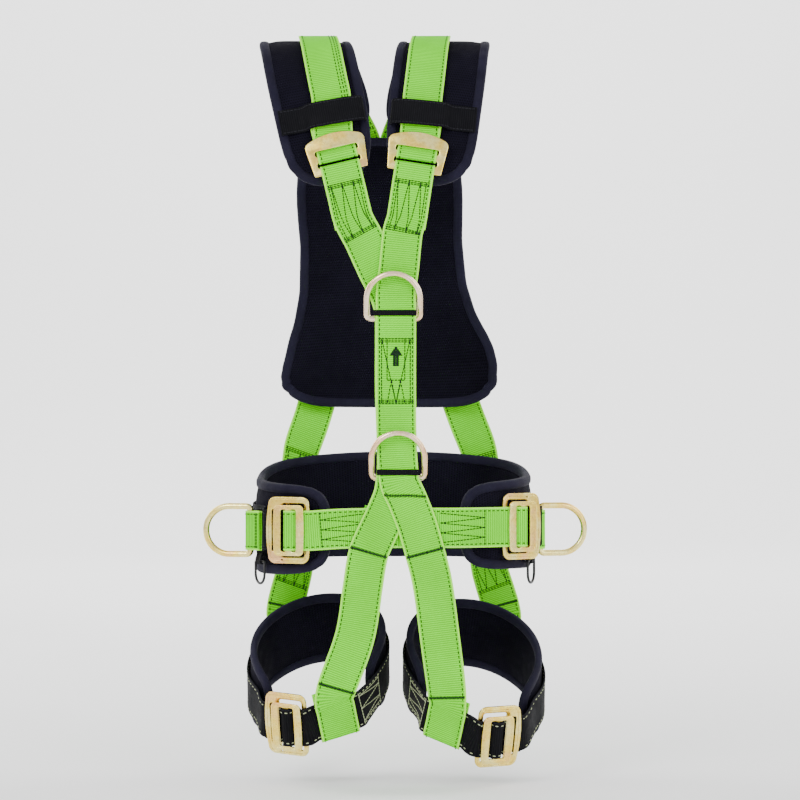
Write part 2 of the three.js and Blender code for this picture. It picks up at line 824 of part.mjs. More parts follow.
const FRONT_STRAP_Y = -124.6;
webbing(
  "front_waist_strap",
  [
    ...turnPoints(waistFrames.right, INNER_TURN),
    V(-62, FRONT_STRAP_Y + 0.3, -1),
    V(0, FRONT_STRAP_Y, 0),
    V(66, FRONT_STRAP_Y + 0.3, 0),
    ...turnPoints(waistFrames.left, INNER_TURN).reverse(),
  ],
  Z_AXIS,
);

const beltRun = [];
for (let angle = -60; angle >= -300; angle -= 10) {
  const z = 4 * (1 - Math.cos(degrees(angle)));
  const clear = Math.abs(angle + 180) > 112 ? 1.6 : 0.2;
  beltRun.push(waistPoint(angle, FACE + clear, z - 2));
}
webbing(
  "rear_waist_webbing",
  [
    ...turnPoints(waistFrames.right, OUTER_TURN).reverse(),
    ...beltRun,
    ...turnPoints(waistFrames.left, OUTER_TURN),
  ],
  Z_AXIS,
  { material: BLACK_WEB },
);

// Backing that holds the waist strap to each leg strap.
const BACKING = { right: FRONT_STRAP_Y + LAYER, left: FRONT_STRAP_Y + 2 * LAYER };
for (const { name, side } of SIDES) {
  const y = BACKING[name];
  const points = [V(side * 16, y, 20), V(side * 22, y, 0), V(side * 30, y, -24)];
  webbing(`waist_backing_${name}`, points, X_AXIS);
}

// ---------------------------------------------------------------- side rings
const SIDE_RING = { angle: { right: 72, left: 82 }, z: -6 };
const ringRadius = ({ stock }) => stock * 0.545; // over the corners of the octagon
const sideBarOffset = FACE + LAYER + WEB / 2 + GAP + ringRadius(RING.side) + 0.2;

for (const { name, side } of SIDES) {
  const { z } = SIDE_RING;
  const angle = SIDE_RING.angle[name];
  const bar = waistPoint(side * angle, sideBarOffset, z);
  const { n } = waistAt(side * angle);
  const aft = n.clone().cross(Z_AXIS).multiplyScalar(-side);
  const r = ringRadius(RING.side) + GAP + WEB / 2 + 0.15;
  const start = side * (angle - 9);
  webbing(
    `side_ring_loop_${name}`,
    [
      waistPoint(start, FACE + LAYER + 0.1, z),
      waistPoint(side * (angle - 4), FACE + LAYER + 0.1, z),
      ...turnRound(bar, n, aft, r, 180, 0, 6),
      waistPoint(side * (angle - 4), FACE + 2 * LAYER + 3.6, z),
      waistPoint(start, FACE + 2 * LAYER + 0.3, z),
    ],
    Z_AXIS,
  );
  const outboard = V(side * 0.98, 0.2, 0).normalize();
  const up = V(0, 0, side);
  addInFrame(`side_ring_${name}`, dRing(RING.side), ZINC, {
    origin: bar,
    u: up,
    v: outboard,
    n: up.clone().cross(outboard),
  });
}

// ---------------------------------------------------------------- gear rings
const GEAR = { right: 65, left: 71, top: -30, z: -41, width: 14, thick: 1.2 };

for (const { name, side } of SIDES) {
  const angle = side * GEAR[name];
  const { n } = waistAt(angle);
  const inner = PAD.waist / 2 + GAP + GEAR.thick / 2;
  const reach = GEAR.thick + 2 * GAP + RING.gear.stock;
  const middle = inner + reach / 2;
  const at = (z, offset) => waistPoint(angle, offset, z);
  webbing(
    `gear_loop_${name}`,
    [
      at(GEAR.top, inner),
      at(GEAR.z + 4, inner),
      ...turnRound(at(GEAR.z, middle), n, Z_AXIS, reach / 2, 180, 360, 6),
      at(GEAR.z + 4, inner + reach - 0.6),
      at(GEAR.top, inner + GEAR.thick + 0.5),
    ],
    n.clone().cross(Z_AXIS),
    { material: BLACK_WEB, width: GEAR.width, thick: GEAR.thick },
  );
  const frame = makeFrame(at(GEAR.z, middle), n, Z_AXIS.clone().cross(n).negate());
  addInFrame(`gear_ring_${name}`, dRing(RING.gear), BLACK_STEEL, frame);
}

// ---------------------------------------------------------------- leg webbing and buckles
const LEG_BUCKLE = { right: { angle: 21, h: -3 }, left: { angle: 15.5, h: -6 } };
const REAR_STRAP = { right: { x: -114, angle: 156 }, left: { x: 104, angle: 160 } };
const REAR_OFFSET = LEG_FACE + LAYER + 0.1; // of the leg webbing inside the rear strap's fold
const rearFolds = Object.fromEntries(
  SIDES.map(({ name, side }) => [name, loopFrame(side, REAR_STRAP[name].angle)]),
);

for (const { name, side } of SIDES) {
  const { angle, h } = LEG_BUCKLE[name];
  const frame = loopFrame(side, angle, PAD.leg / 2 + FRAME_RISE, h);
  addBuckle(`leg_${name}`, frame);
  const up = ({ v }) => v.clone().multiplyScalar(-side);
  const on = (at, offset) => loopPoint(side, at, offset, 0);
  const runs = [
    [turnPoints(frame, INNER_TURN), up(frame)],
    [straightRun(frontFolds[name], LOOP_FRONT - LAYER), up(frontFolds[name])],
    [[on(-48, 11), on(-62, 8)], loopUp(side)],
    [[-80, -98, -116, -134, -152, -170].map((at) => on(at, LEG_FACE + 0.7)), loopUp(side)],
    [straightRun(rearFolds[name], REAR_OFFSET), up(rearFolds[name])],
    [[-228, -248, -268, -286, -303].map((at) => on(at, LEG_FACE + 0.7)), loopUp(side)],
    [turnPoints(frame, OUTER_TURN), up(frame)],
  ];
  const points = runs.flatMap(([part]) => part);
  const directions = runs.flatMap(([part, across]) => part.map(() => across));
  webbing(`leg_webbing_${name}`, points, directions, { material: BLACK_WEB });
}

// ---------------------------------------------------------------- rear leg straps
// From the belt down to a fold round the leg webbing behind the thigh.
for (const { name, side } of SIDES) {
  const { x } = REAR_STRAP[name];
  const frame = rearFolds[name];
  const belt = [
    onBelt(x, FACE + LAYER + 0.5, 1),
    onBelt(x, FACE + LAYER + 0.5, -20),
    onBelt(x, FACE + 0.8, -44),
  ];
  const fold = foldRound(frame, -side, REAR_OFFSET + LAYER, 26, 22);
  const along = frame.u.clone().multiplyScalar(-1);
  const flat = beltTangent(x);
  if (flat.dot(along) < 0) flat.negate();
  const directions = [...belt.map(() => flat), ...fold.map(() => along)];
  webbing(`rear_leg_strap_${name}`, [...belt, ...fold], directions);
}

// ---------------------------------------------------------------- shoulder bands
for (const { name, side } of SIDES) {
  const stations = stationsOf(shoulderRows(side), SHOULDER_STEPS, MINUS_X);
  const along = tangents(stations, false);
  const i = stations.findIndex(({ p }) => p.y < -60 && p.z < SHOULDER_BAND.z);
  const above = stations[i - 1].p;
  const below = stations[i].p;
  const p = above.clone().lerp(below, (above.z - SHOULDER_BAND.z) / (above.z - below.z));
  const w = MINUS_X.clone().addScaledVector(along[i], along[i].x).normalize();
  const n = w.clone().cross(along[i]);
  const at = (s, lift) =>
    p.clone().addScaledVector(w, s).addScaledVector(n, PAD.shoulder / 2 + lift);
  const middle = side * STRAP_INSET;
  const points = [
    at(-48, 1.1),
    at(middle - 34, 2.6),
    at(middle - 29.5, SHOULDER_BAND.lift),
    at(middle + 29.5, SHOULDER_BAND.lift),
    at(middle + 34, 2.6),
    at(48, 1.1),
  ];
  webbing(`shoulder_band_${name}`, points, along[i], {
    material: BLACK_WEB,
    width: SHOULDER_BAND.height,
    thick: SHOULDER_BAND.thick,
  });
}

export default saddle;
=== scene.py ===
"""The looks of a full-body tree climbing saddle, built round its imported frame. Metres."""

import json
import math

import bmesh
import bpy
import numpy as np
from mathutils import Matrix, Vector


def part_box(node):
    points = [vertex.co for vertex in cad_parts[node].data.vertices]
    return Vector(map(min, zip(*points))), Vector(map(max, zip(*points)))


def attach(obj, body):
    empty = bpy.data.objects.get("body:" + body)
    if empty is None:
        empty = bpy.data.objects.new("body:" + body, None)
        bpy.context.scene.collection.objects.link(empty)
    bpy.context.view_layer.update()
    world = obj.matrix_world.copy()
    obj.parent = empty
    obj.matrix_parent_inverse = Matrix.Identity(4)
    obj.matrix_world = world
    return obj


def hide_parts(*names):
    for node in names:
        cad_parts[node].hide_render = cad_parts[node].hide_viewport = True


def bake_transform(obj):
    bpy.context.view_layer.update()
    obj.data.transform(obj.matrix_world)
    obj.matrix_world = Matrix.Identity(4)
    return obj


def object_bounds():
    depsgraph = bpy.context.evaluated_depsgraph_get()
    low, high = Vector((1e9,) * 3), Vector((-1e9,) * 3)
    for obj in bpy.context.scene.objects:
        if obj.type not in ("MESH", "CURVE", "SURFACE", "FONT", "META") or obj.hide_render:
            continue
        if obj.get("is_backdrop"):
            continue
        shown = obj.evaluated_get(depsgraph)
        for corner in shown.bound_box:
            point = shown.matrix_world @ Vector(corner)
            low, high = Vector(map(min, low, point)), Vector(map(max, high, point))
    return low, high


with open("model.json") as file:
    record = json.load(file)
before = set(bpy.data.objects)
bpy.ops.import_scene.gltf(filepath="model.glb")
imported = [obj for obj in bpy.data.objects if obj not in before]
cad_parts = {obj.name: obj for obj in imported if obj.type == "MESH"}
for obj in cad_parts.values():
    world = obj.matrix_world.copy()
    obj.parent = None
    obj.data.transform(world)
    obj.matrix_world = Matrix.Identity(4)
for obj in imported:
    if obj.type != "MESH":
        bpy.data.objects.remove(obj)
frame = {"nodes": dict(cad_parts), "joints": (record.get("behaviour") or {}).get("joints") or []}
CAD_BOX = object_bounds()
JOINTS = {joint["name"]: joint for joint in frame["joints"]}
MM = 0.001
SIDES = ("right", "left")  # the wearer's own
HARNESS = "harness"  # the body that everything fixed rides on
FACES = (1, -1)


# ---- reading the frame
def unit(v):
    return v / np.maximum(np.linalg.norm(v, axis=-1, keepdims=True), 1e-12)


def lengths_of(vectors):
    return np.linalg.norm(vectors, axis=-1)


def merged(node):
    """The CAD node's vertices and the vertex numbers of its faces, shared corners merged."""
    bm = bmesh.new()
    bm.from_mesh(frame["nodes"][node].data)
    bmesh.ops.remove_doubles(bm, verts=bm.verts, dist=2e-5)
    bm.verts.index_update()
    points = np.array([v.co[:] for v in bm.verts])
    faces = [[v.index for v in f.verts] for f in bm.faces]
    normals = np.array([f.normal[:] for f in bm.faces])
    bm.free()
    return points, faces, normals


def layers_from(start, neighbours):
    """Sets of vertices at 0, 1, 2... edges from the start set."""
    seen = set(start)
    layers = [sorted(start)]
    while True:
        after = {n for v in layers[-1] for n in neighbours[v]} - seen
        if not after:
            return layers
        seen |= after
        layers.append(sorted(after))


def end_layers(points, faces, normals, neighbours, count):
    """The cross-sections of a swept solid, each of count vertices, from one end to the other."""
    far = layers_from([0], neighbours)[-1]
    of_vertex = {}
    for k, face in enumerate(faces):
        for v in face:
            of_vertex.setdefault(v, []).append(k)
    for first, alike in [(k, c) for c in (0.9999, 0.99, 0.9) for v in far for k in of_vertex[v]]:
        flat = {first}
        stack = [first]
        while stack:
            for v in faces[stack.pop()]:
                for k in of_vertex[v]:
                    if k not in flat and normals[k] @ normals[first] > alike:
                        flat.add(k)
                        stack.append(k)
        corners = {v for k in flat for v in faces[k]}
        if len(corners) == count:
            layers = layers_from(corners, neighbours)
            if all(len(layer) == count for layer in layers):
                return layers
    raise ValueError("no end found")


def cycle(layer, neighbours):
    """A cross-section's vertices in order round it."""
    inside = set(layer)
    ring = [layer[0]]
    while len(ring) < len(layer):
        ring.append(next(n for n in neighbours[ring[-1]] if n in inside and n not in ring))
    return ring


def sections(node, wide):
    """Cross-sections of a swept CAD solid as an array [section, side, place across, xyz]."""
    points, faces, normals = merged(node)
    neighbours = [set() for _ in points]
    for face in faces:
        for a, b in zip(face, face[1:] + face[:1]):
            neighbours[a].add(b)
            neighbours[b].add(a)
    count = 2 * wide
    layers = end_layers(points, faces, normals, neighbours, count)
    ring = points[cycle(layers[1], neighbours)]
    sides = [ring[k] - ring[k - 1] for k in range(count)]
    short = lengths_of(sides[:wide]) + lengths_of(sides[wide:])
    ring = np.roll(ring, -int(np.argmin(short)), axis=0)
    rows = [np.array([ring[:wide], ring[wide:][::-1]])]

    def centred(place):
        place = place - place.mean(0)
        return place / np.sqrt((place**2).sum(1).mean())

    def matched(layer, previous):
        """A layer's vertices in the order of the nearest ones of the section before it."""
        have = points[layer]
        gaps = lengths_of(centred(previous.reshape(-1, 3))[:, None] - centred(have)[None])
        order = [-1] * count
        for _ in range(count):
            i, j = np.unravel_index(np.argmin(gaps), gaps.shape)
            order[i] = j
            gaps[i, :] = gaps[:, j] = 1e9
        return have[order].reshape(2, wide, 3)

    for layer in layers[2:]:
        rows.append(matched(layer, rows[-1]))
    rows.insert(0, matched(layers[0], rows[0]))
    return np.array(rows)


def travelled(points):
    """The distance run at each point of a line of points."""
    return np.concatenate([[0], np.cumsum(lengths_of(np.diff(points, axis=0)))])


def smooth_at(values, knots, where):
    """Smooth cubic interpolation of rows of values at places along the knots."""
    slope = np.gradient(values, knots, axis=0)
    k = np.clip(np.searchsorted(knots, where, side="right") - 1, 0, len(knots) - 2)
    h = (knots[k + 1] - knots[k])[:, None]
    t = ((where - knots[k])[:, None]) / h
    a, b, ma, mb = values[k], values[k + 1], slope[k] * h, slope[k + 1] * h
    return (
        (2 * t**3 - 3 * t**2 + 1) * a
        + (t**3 - 2 * t**2 + t) * ma
        + (-2 * t**3 + 3 * t**2) * b
        + (t**3 - t**2) * mb
    )


class Ribbon:
    """A webbing's centre line, width and face direction, read from its CAD solid."""

    def __init__(self, node, step=0.003):
        self.node = node
        rows = sections(node, 2)
        centre = rows.mean((1, 2))
        across = rows[:, :, 1].mean(1) - rows[:, :, 0].mean(1)
        knots = travelled(centre)
        self.length = knots[-1]
        self.s = np.linspace(0, self.length, max(int(self.length / step), 12) + 1)
        self.p = smooth_at(centre, knots, self.s)
        wide = smooth_at(across, knots, self.s)
        self.half = lengths_of(wide).mean() / 2
        self.t = unit(np.gradient(self.p, self.s, axis=0))
        self.w = unit(wide - (wide * self.t).sum(1)[:, None] * self.t)
        self.n = np.cross(self.t, self.w)
        self.thick = lengths_of(rows[:, 0, 0] - rows[:, 1, 0]).mean()

    def at(self, s, y=0.0, lift=0.0):
        """Points at distances s along and y across, lifted off the centre sheet."""
        s, y, lift = np.broadcast_arrays(s, y, lift)
        pick = lambda a: np.stack([np.interp(s, self.s, a[:, k]) for k in range(3)], -1)
        return pick(self.p) + pick(self.w) * y[..., None] + pick(self.n) * lift[..., None]

    def climb(self, s):
        """Height gained per metre along the ribbon at s."""
        return (self.at(s + 0.002)[2] - self.at(s - 0.002)[2]) / 0.004

    def near(self, x=None, y=None, z=None):
        """The distance along to where the centre line comes nearest to a place."""
        gap = sum((self.p[:, k] - v) ** 2 for k, v in enumerate((x, y, z)) if v is not None)
        return self.s[int(np.argmin(gap))]


# ---- mesh building
def linked(name, data):
    """A new object in the scene that holds some data."""
    obj = bpy.data.objects.new(name, data)
    bpy.context.scene.collection.objects.link(obj)
    return obj


def new_object(name, vertices, faces, uvs=None):
    mesh = bpy.data.meshes.new(name)
    mesh.from_pydata([tuple(v) for v in vertices], [], [tuple(f) for f in faces])
    if uvs is not None:
        layer = mesh.uv_layers.new(name="UVMap")
        loops = np.zeros(len(mesh.loops), np.int32)
        mesh.loops.foreach_get("vertex_index", loops)
        layer.data.foreach_set("uv", np.asarray(uvs, np.float32)[loops].ravel())
    mesh.polygons.foreach_set("use_smooth", [True] * len(mesh.polygons))
    mesh.validate()
    return linked(name, mesh)


def grid_faces(rows, columns, close_rows=False, close_columns=False):
    """Quads of a grid of vertices numbered row by row."""
    i, j = np.meshgrid(
        np.arange(rows if close_rows else rows - 1),
        np.arange(columns if close_columns else columns - 1),
        indexing="ij",
    )
    at = lambda r, c: (r % rows) * columns + c % columns
    return np.stack([at(i, j), at(i, j + 1), at(i + 1, j + 1), at(i + 1, j)], -1).reshape(-1, 4)


def face_outwards(mesh, merge=None):
    """Turns a mesh's faces outwards, with its double points merged first if asked."""
    bm = bmesh.new()
    bm.from_mesh(mesh)
    if merge:
        bmesh.ops.remove_doubles(bm, verts=bm.verts, dist=merge)
    bmesh.ops.recalc_face_normals(bm, faces=bm.faces)
    bm.to_mesh(mesh)
    bm.free()


def solid(name, points, faces, uvs=None):
    """A closed body, its faces turned outwards."""
    obj = new_object(name, points, faces, uvs)
    face_outwards(obj.data)
    return obj


def torus(name, points, run, around, uvs=None):
    """A closed tube: run sections of around points each, joined both ways."""
    return solid(name, points, grid_faces(run, around, True, True).tolist(), uvs)


def rod(name, points, run, around, uvs):
    """A tube of run sections of around points each, with a flat face over both ends."""
    faces = grid_faces(run, around, close_columns=True).tolist()
    faces.append(list(range(around)))
    faces.append(list(range((run - 1) * around, run * around))[::-1])
    return solid(name, points, faces, uvs)


def join(name, objects):
    """One object made of several, with each one's material kept on its own faces."""
    for obj in bpy.context.selected_objects:
        obj.select_set(False)
    for obj in objects:
        obj.select_set(True)
    bpy.context.view_layer.objects.active = objects[0]
    bpy.ops.object.join()
    objects[0].name = name
    objects[0].data.name = name
    return objects[0]


# Half of a webbing's section: share of the half width, share of the half thickness.
SELVEDGE = [(0.0, 1.0), (0.35, 1.0), (0.7, 1.0), (0.88, 1.0), (0.905, 0.86)]
SELVEDGE += [(0.93, 1.08), (0.965, 1.1), (0.988, 0.85), (1.0, 0.35)]


def webbing_mesh(name, ribbon, start, end, narrow):
    """A stretch of webbing with raised, rounded selvedges."""
    end = ribbon.length if end is None else end
    s = np.linspace(start, end, max(int((end - start) / 0.003), 4) + 1)
    upper = [(-x, z) for x, z in SELVEDGE[::-1]] + SELVEDGE[1:]
    section = np.array(upper + [(x, -z) for x, z in upper[::-1]])
    half = ribbon.half * narrow
    y = section[:, 0] * half
    lift = section[:, 1] * ribbon.thick / 2
    points = ribbon.at(s[:, None], y[None], lift[None]).reshape(-1, 3)
    uv = np.stack(np.broadcast_arrays(s[:, None], y[None]), -1).reshape(-1, 2)
    return rod(name, points, len(s), len(section), uv)


# A stitch's spindle: share of its length, share of its width.
RINGS_OF_STITCH = ((-0.5, 0.25), (-0.4, 0.8), (0.0, 1.0), (0.4, 0.8), (0.5, 0.25))
AROUND_STITCH = 6
STITCH = (0.0034, 0.0013, 0.0009)  # length, width, height
TACK_STITCH = (0.0044, 0.0009, 0.0007)
TAPE_STITCH = (0.0028, 0.0007, 0.0006)


def stitch_mesh(name, places, material, size=STITCH):
    """Sewing stitches, each a small spindle at (centre, direction, face normal)."""
    centre, along, normal = (np.array(part) for part in places)
    along = unit(along)
    side = unit(np.cross(normal, along))
    up = np.cross(along, side)
    length, width, height = size
    template = []
    for place, swell in RINGS_OF_STITCH:
        for k in range(AROUND_STITCH):
            a = 2 * math.pi * k / AROUND_STITCH
            radii = swell * width / 2, swell * height / 2
            template.append((place * length, radii[0] * math.cos(a), radii[1] * math.sin(a)))
    shape = np.array(template)
    points = (
        centre[:, None]
        + along[:, None] * shape[None, :, :1]
        + side[:, None] * shape[None, :, 1:2]
        + up[:, None] * shape[None, :, 2:3]
    )
    rings = len(RINGS_OF_STITCH)
    quads = grid_faces(rings, AROUND_STITCH, close_columns=True)
    ends = [np.arange(AROUND_STITCH)[::-1], np.arange(AROUND_STITCH) + (rings - 1) * AROUND_STITCH]
    faces = []
    for k in range(len(centre)):
        base = k * len(shape)
        faces.extend((quads + base).tolist())
        faces.extend((e + base).tolist() for e in ends)
    obj = new_object(name, points.reshape(-1, 3), faces)
    obj.data.materials.append(material)
    return obj


def on_both_faces(ribbon, s, y, step_s, step_y, rise=0.5, root=None):
    """Stitches at (s, y) that point along (step_s, step_y), proud of the sheet at root."""
    foot = ribbon.at(s if root is None else root, y)
    parts = []
    for face in FACES:
        lift = face * ribbon.thick * rise
        here = ribbon.at(s, y, lift)
        along = ribbon.at(s + step_s, y + step_y, lift) - ribbon.at(s - step_s, y - step_y, lift)
        parts.append((here, along, here - foot))
    return together(*parts)


def seam(ribbon, path, pitch=0.0043):
    """Places of stitches along straight runs between (s, y) points on a ribbon."""
    parts = []
    for (s0, y0), (s1, y1) in zip(path, path[1:]):
        length = math.hypot(s1 - s0, y1 - y0)
        count = max(int(length / pitch), 1)
        share = (np.arange(count) + 0.5) / count
        step_s, step_y = 0.001 * (s1 - s0) / length, 0.001 * (y1 - y0) / length
        places = s0 + (s1 - s0) * share, y0 + (y1 - y0) * share
        parts.append(on_both_faces(ribbon, *places, step_s, step_y))
    return together(*parts)


def together(*parts):
    return tuple(np.concatenate([part[k] for part in parts]) for k in range(3))


# ---- materials
class Shader:
    """A node material built up from small steps."""

    def __init__(self, name):
        self.material = bpy.data.materials.new(name)
        self.material.use_nodes = True
        self.nodes = self.material.node_tree.nodes
        self.links = self.material.node_tree.links
        self.principled = self.nodes["Principled BSDF"]

    def put(self, socket, value):
        if isinstance(value, bpy.types.NodeSocket):
            self.links.new(value, socket)
        else:
            socket.default_value = value

    def fill(self, node, **values):
        for name, value in values.items():
            self.put(node.inputs[name.replace("_", " ")], value)

    def set(self, **values):
        self.fill(self.principled, **values)

    def math(self, operation, a, b=0.0, c=0.0):
        node = self.nodes.new("ShaderNodeMath")
        node.operation = operation
        for socket, value in zip(node.inputs, (a, b, c)):
            self.put(socket, value)
        return node.outputs[0]

    def uv(self):
        node = self.nodes.new("ShaderNodeUVMap")
        split = self.nodes.new("ShaderNodeSeparateXYZ")
        self.links.new(node.outputs[0], split.inputs[0])
        return split.outputs[0], split.outputs[1]

    def noise(self, scale, detail=3.0, rough=0.55):
        node = self.nodes.new("ShaderNodeTexNoise")
        place = self.nodes.new("ShaderNodeTexCoord").outputs["Object"]
        self.fill(node, Vector=place, Scale=scale, Detail=detail, Roughness=rough)
        return node.outputs[0]

    def wave(self, value, pitch):
        """0 to 1 and back every pitch."""
        turn = self.math("MULTIPLY", value, 2 * math.pi / pitch)
        return self.math("MULTIPLY_ADD", self.math("SINE", turn), 0.5, 0.5)

    def ramp(self, factor, *stops):
        node = self.nodes.new("ShaderNodeValToRGB")
        elements = node.color_ramp.elements
        while len(elements) < len(stops):
            elements.new(0.5)
        for element, (position, color) in zip(elements, stops):
            element.position = position
            element.color = (*color, 1) if isinstance(color, tuple) else (color, color, color, 1)
        self.put(node.inputs[0], factor)
        return node.outputs[0]

    def mix(self, factor, a, b, blend="MIX"):
        node = self.nodes.new("ShaderNodeMix")
        node.data_type = "RGBA"
        node.blend_type = blend
        four = lambda v: (*v, 1) if isinstance(v, tuple) and len(v) == 3 else v
        self.put(node.inputs[0], factor)
        self.put(node.inputs[6], four(a))
        self.put(node.inputs[7], four(b))
        return node.outputs[2]

    def mottled(self, tone, noise, *stops):
        """The tone made darker and lighter in patches."""
        return self.mix(1.0, tone, self.ramp(noise, *stops), "MULTIPLY")

    def bump(self, height, strength, distance):
        node = self.nodes.new("ShaderNodeBump")
        self.fill(node, Strength=strength, Distance=distance, Height=height)
        self.set(Normal=node.outputs[0])


WEBBING_HALF = 0.0225
SELVEDGE_SHARE = 0.915  # of the half width, where the selvedge begins


def webbing_material(name, deep, light, edge, sheen, gloss):
    """Woven webbing: ribs across, fine warp ends, paler selvedges and slight fading."""
    m = Shader(name)
    u, v = m.uv()
    rib = m.wave(u, 0.0024)
    warp = m.wave(v, 0.0011)
    twill = m.wave(m.math("ADD", u, v), 0.0031)
    weave = m.math("MULTIPLY_ADD", rib, 0.62, m.math("MULTIPLY", warp, 0.25))
    weave = m.math("MULTIPLY_ADD", twill, 0.13, weave)
    tone = m.mix(m.ramp(weave, (0.15, 0.0), (0.8, 1.0)), deep, light)
    tone = m.mottled(tone, m.noise(9, 4), (0.3, 0.84), (0.75, 1.12))
    tone = m.mottled(tone, m.noise(900, 2), (0.2, 0.86), (0.8, 1.1))
    border = m.math("GREATER_THAN", m.math("ABSOLUTE", v), WEBBING_HALF * SELVEDGE_SHARE)
    tone = m.mix(border, tone, edge)
    m.set(Base_Color=tone, Roughness=m.ramp(m.noise(60), (0.3, 0.62), (0.7, 0.82)))
    m.set(Sheen_Weight=sheen, Sheen_Roughness=0.45, Specular_IOR_Level=gloss)
    m.bump(m.math("ADD", weave, m.math("MULTIPLY", m.noise(1400, 2), 0.25)), 0.55, 0.0005)
    return m.material


def thread_material(name, color, shade):
    m = Shader(name)
    tone = m.mix(m.noise(800, 2), color, shade)
    m.set(Base_Color=tone, Roughness=0.6, Specular_IOR_Level=0.2)
    m.bump(m.wave(m.noise(500, 1), 0.12), 0.3, 0.0002)
    return m.material


def mesh_fabric_material():
    """Spacer mesh: rows of small holes with knitted ribs between, the holes darkened with painted shade.
    """
    m = Shader("spacer_mesh")
    u, v = m.uv()
    slanted = m.wave(m.math("MULTIPLY_ADD", u, 0.5, v), 0.0028)
    cells = m.math("MULTIPLY", m.wave(u, 0.0032), slanted)
    hole = m.ramp(cells, (0.3, 0.0), (0.62, 1.0))
    # Painted shade: the holes get a much darker tone than the ribs, for the shade that falls inside them.
    tone = m.mix(hole, (0.0055, 0.0048, 0.0105), (0.0010, 0.0009, 0.0022))
    tone = m.mottled(tone, m.noise(14, 4), (0.3, 0.7), (0.75, 1.5))
    m.set(Base_Color=tone, Roughness=m.ramp(m.noise(90), (0.3, 0.72), (0.7, 0.92)))
    m.set(Sheen_Weight=0.01, Sheen_Roughness=0.5, Specular_IOR_Level=0.04)
    height = m.math("SUBTRACT", m.math("MULTIPLY", m.noise(700, 2), 0.3), hole)
    m.bump(height, 0.6, 0.0006)
    return m.material


def binding_material():
    """Folded edge tape: fine ribs across it over foam."""
    m = Shader("binding_tape")
    u, v = m.uv()
    weave = m.math("MULTIPLY_ADD", m.wave(u, 0.0016), 0.6, m.math("MULTIPLY", m.wave(v, 0.0009), 0.4))
    tone = m.mix(weave, (0.0050, 0.0045, 0.0115), (0.0155, 0.0135, 0.0320))
    tone = m.mottled(tone, m.noise(22, 4), (0.3, 0.75), (0.75, 1.35))
    m.set(Base_Color=tone, Roughness=m.ramp(m.noise(70), (0.3, 0.66), (0.7, 0.86)))
    m.set(Sheen_Weight=0.03, Sheen_Roughness=0.4, Specular_IOR_Level=0.1)
    m.bump(m.math("ADD", weave, m.math("MULTIPLY", m.noise(600, 2), 0.4)), 0.5, 0.0004)
    return m.material


def plated_material(name, pink, gold, pale):
    """Zinc plate with a yellow passivate that drifts to pink and pale gold."""
    m = Shader(name)
    tone = m.ramp(m.noise(26, 3, 0.6), (0.3, pink), (0.45, gold), (0.6, pale), (0.74, gold))
    tone = m.mottled(tone, m.noise(420, 3), (0.35, 0.86), (0.6, 1.04))
    scratches = m.noise(150, 5, 0.7)
    m.set(Base_Color=tone, Metallic=1.0)
    m.set(Roughness=m.ramp(scratches, (0.3, 0.2), (0.7, 0.38)))
    m.bump(m.math("ADD", scratches, m.math("MULTIPLY", m.noise(900, 2), 0.3)), 0.12, 0.0003)
    return m.material


def coated_wire_material():
    m = Shader("black_coated_wire")
    worn = m.ramp(m.noise(120, 5, 0.7), (0.62, (0.010, 0.010, 0.012)), (0.8, (0.06, 0.06, 0.065)))
    m.set(Base_Color=worn, Roughness=m.ramp(m.noise(200), (0.3, 0.3), (0.7, 0.5)), Metallic=0.2)
    m.bump(m.noise(500, 3), 0.15, 0.0003)
    return m.material


def nylon_material():
    m = Shader("moulded_nylon")
    tone = m.mix(m.noise(40, 4), (0.010, 0.010, 0.013), (0.020, 0.020, 0.025))
    m.set(Base_Color=tone, Roughness=m.ramp(m.noise(160), (0.3, 0.42), (0.7, 0.58)))
    m.bump(m.noise(1100, 3), 0.35, 0.0003)
    return m.material


GREEN = webbing_material(
    "green_webbing", (0.075, 0.50, 0.0), (0.21, 1.0, 0.0), (0.38, 1.0, 0.06), sheen=0.0, gloss=0.1
)
BLACK = webbing_material(
    "black_webbing",
    (0.0015, 0.0015, 0.0025),
    (0.006, 0.006, 0.008),
    (0.008, 0.008, 0.011),
    sheen=0.015,
    gloss=0.08,
)
DARK_THREAD = thread_material("dark_green_thread", (0.001, 0.012, 0.003), (0.002, 0.024, 0.005))
CREAM_THREAD = thread_material("cream_thread", (0.52, 0.56, 0.36), (0.30, 0.34, 0.18))
BLACK_THREAD = thread_material("black_thread", (0.005, 0.005, 0.008), (0.012, 0.012, 0.018))
MESH_FABRIC = mesh_fabric_material()
BINDING = binding_material()
ZINC = plated_material("yellow_zinc", (1.0, 0.60, 0.26), (1.0, 0.72, 0.13), (1.0, 0.87, 0.34))
ROSE_ZINC = plated_material("rose_zinc", (0.96, 0.46, 0.34), (0.96, 0.66, 0.36), (0.98, 0.78, 0.60))
WIRE = coated_wire_material()
NYLON = nylon_material()
WEBBING_SLOTS = {GREEN: "green_webbing", BLACK: "black_webbing"}


def piece(obj, body, node, slot, material=None):
    """Gives a finished piece its material and its body, and hides the CAD node it stands for. The slot is
    not used.
    """
    if material:
        obj.data.materials.clear()
        obj.data.materials.append(material)
    if body:
        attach(obj, body)
    if node:
        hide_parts(node)


# ---- camera, light and floor
CAMERA_PLACE = (0.0045, -3.2, 0.143)
CAMERA_LENS = 123.75
FLOOR_GAP = 0.02  # of the hanging saddle's lowest point from the floor
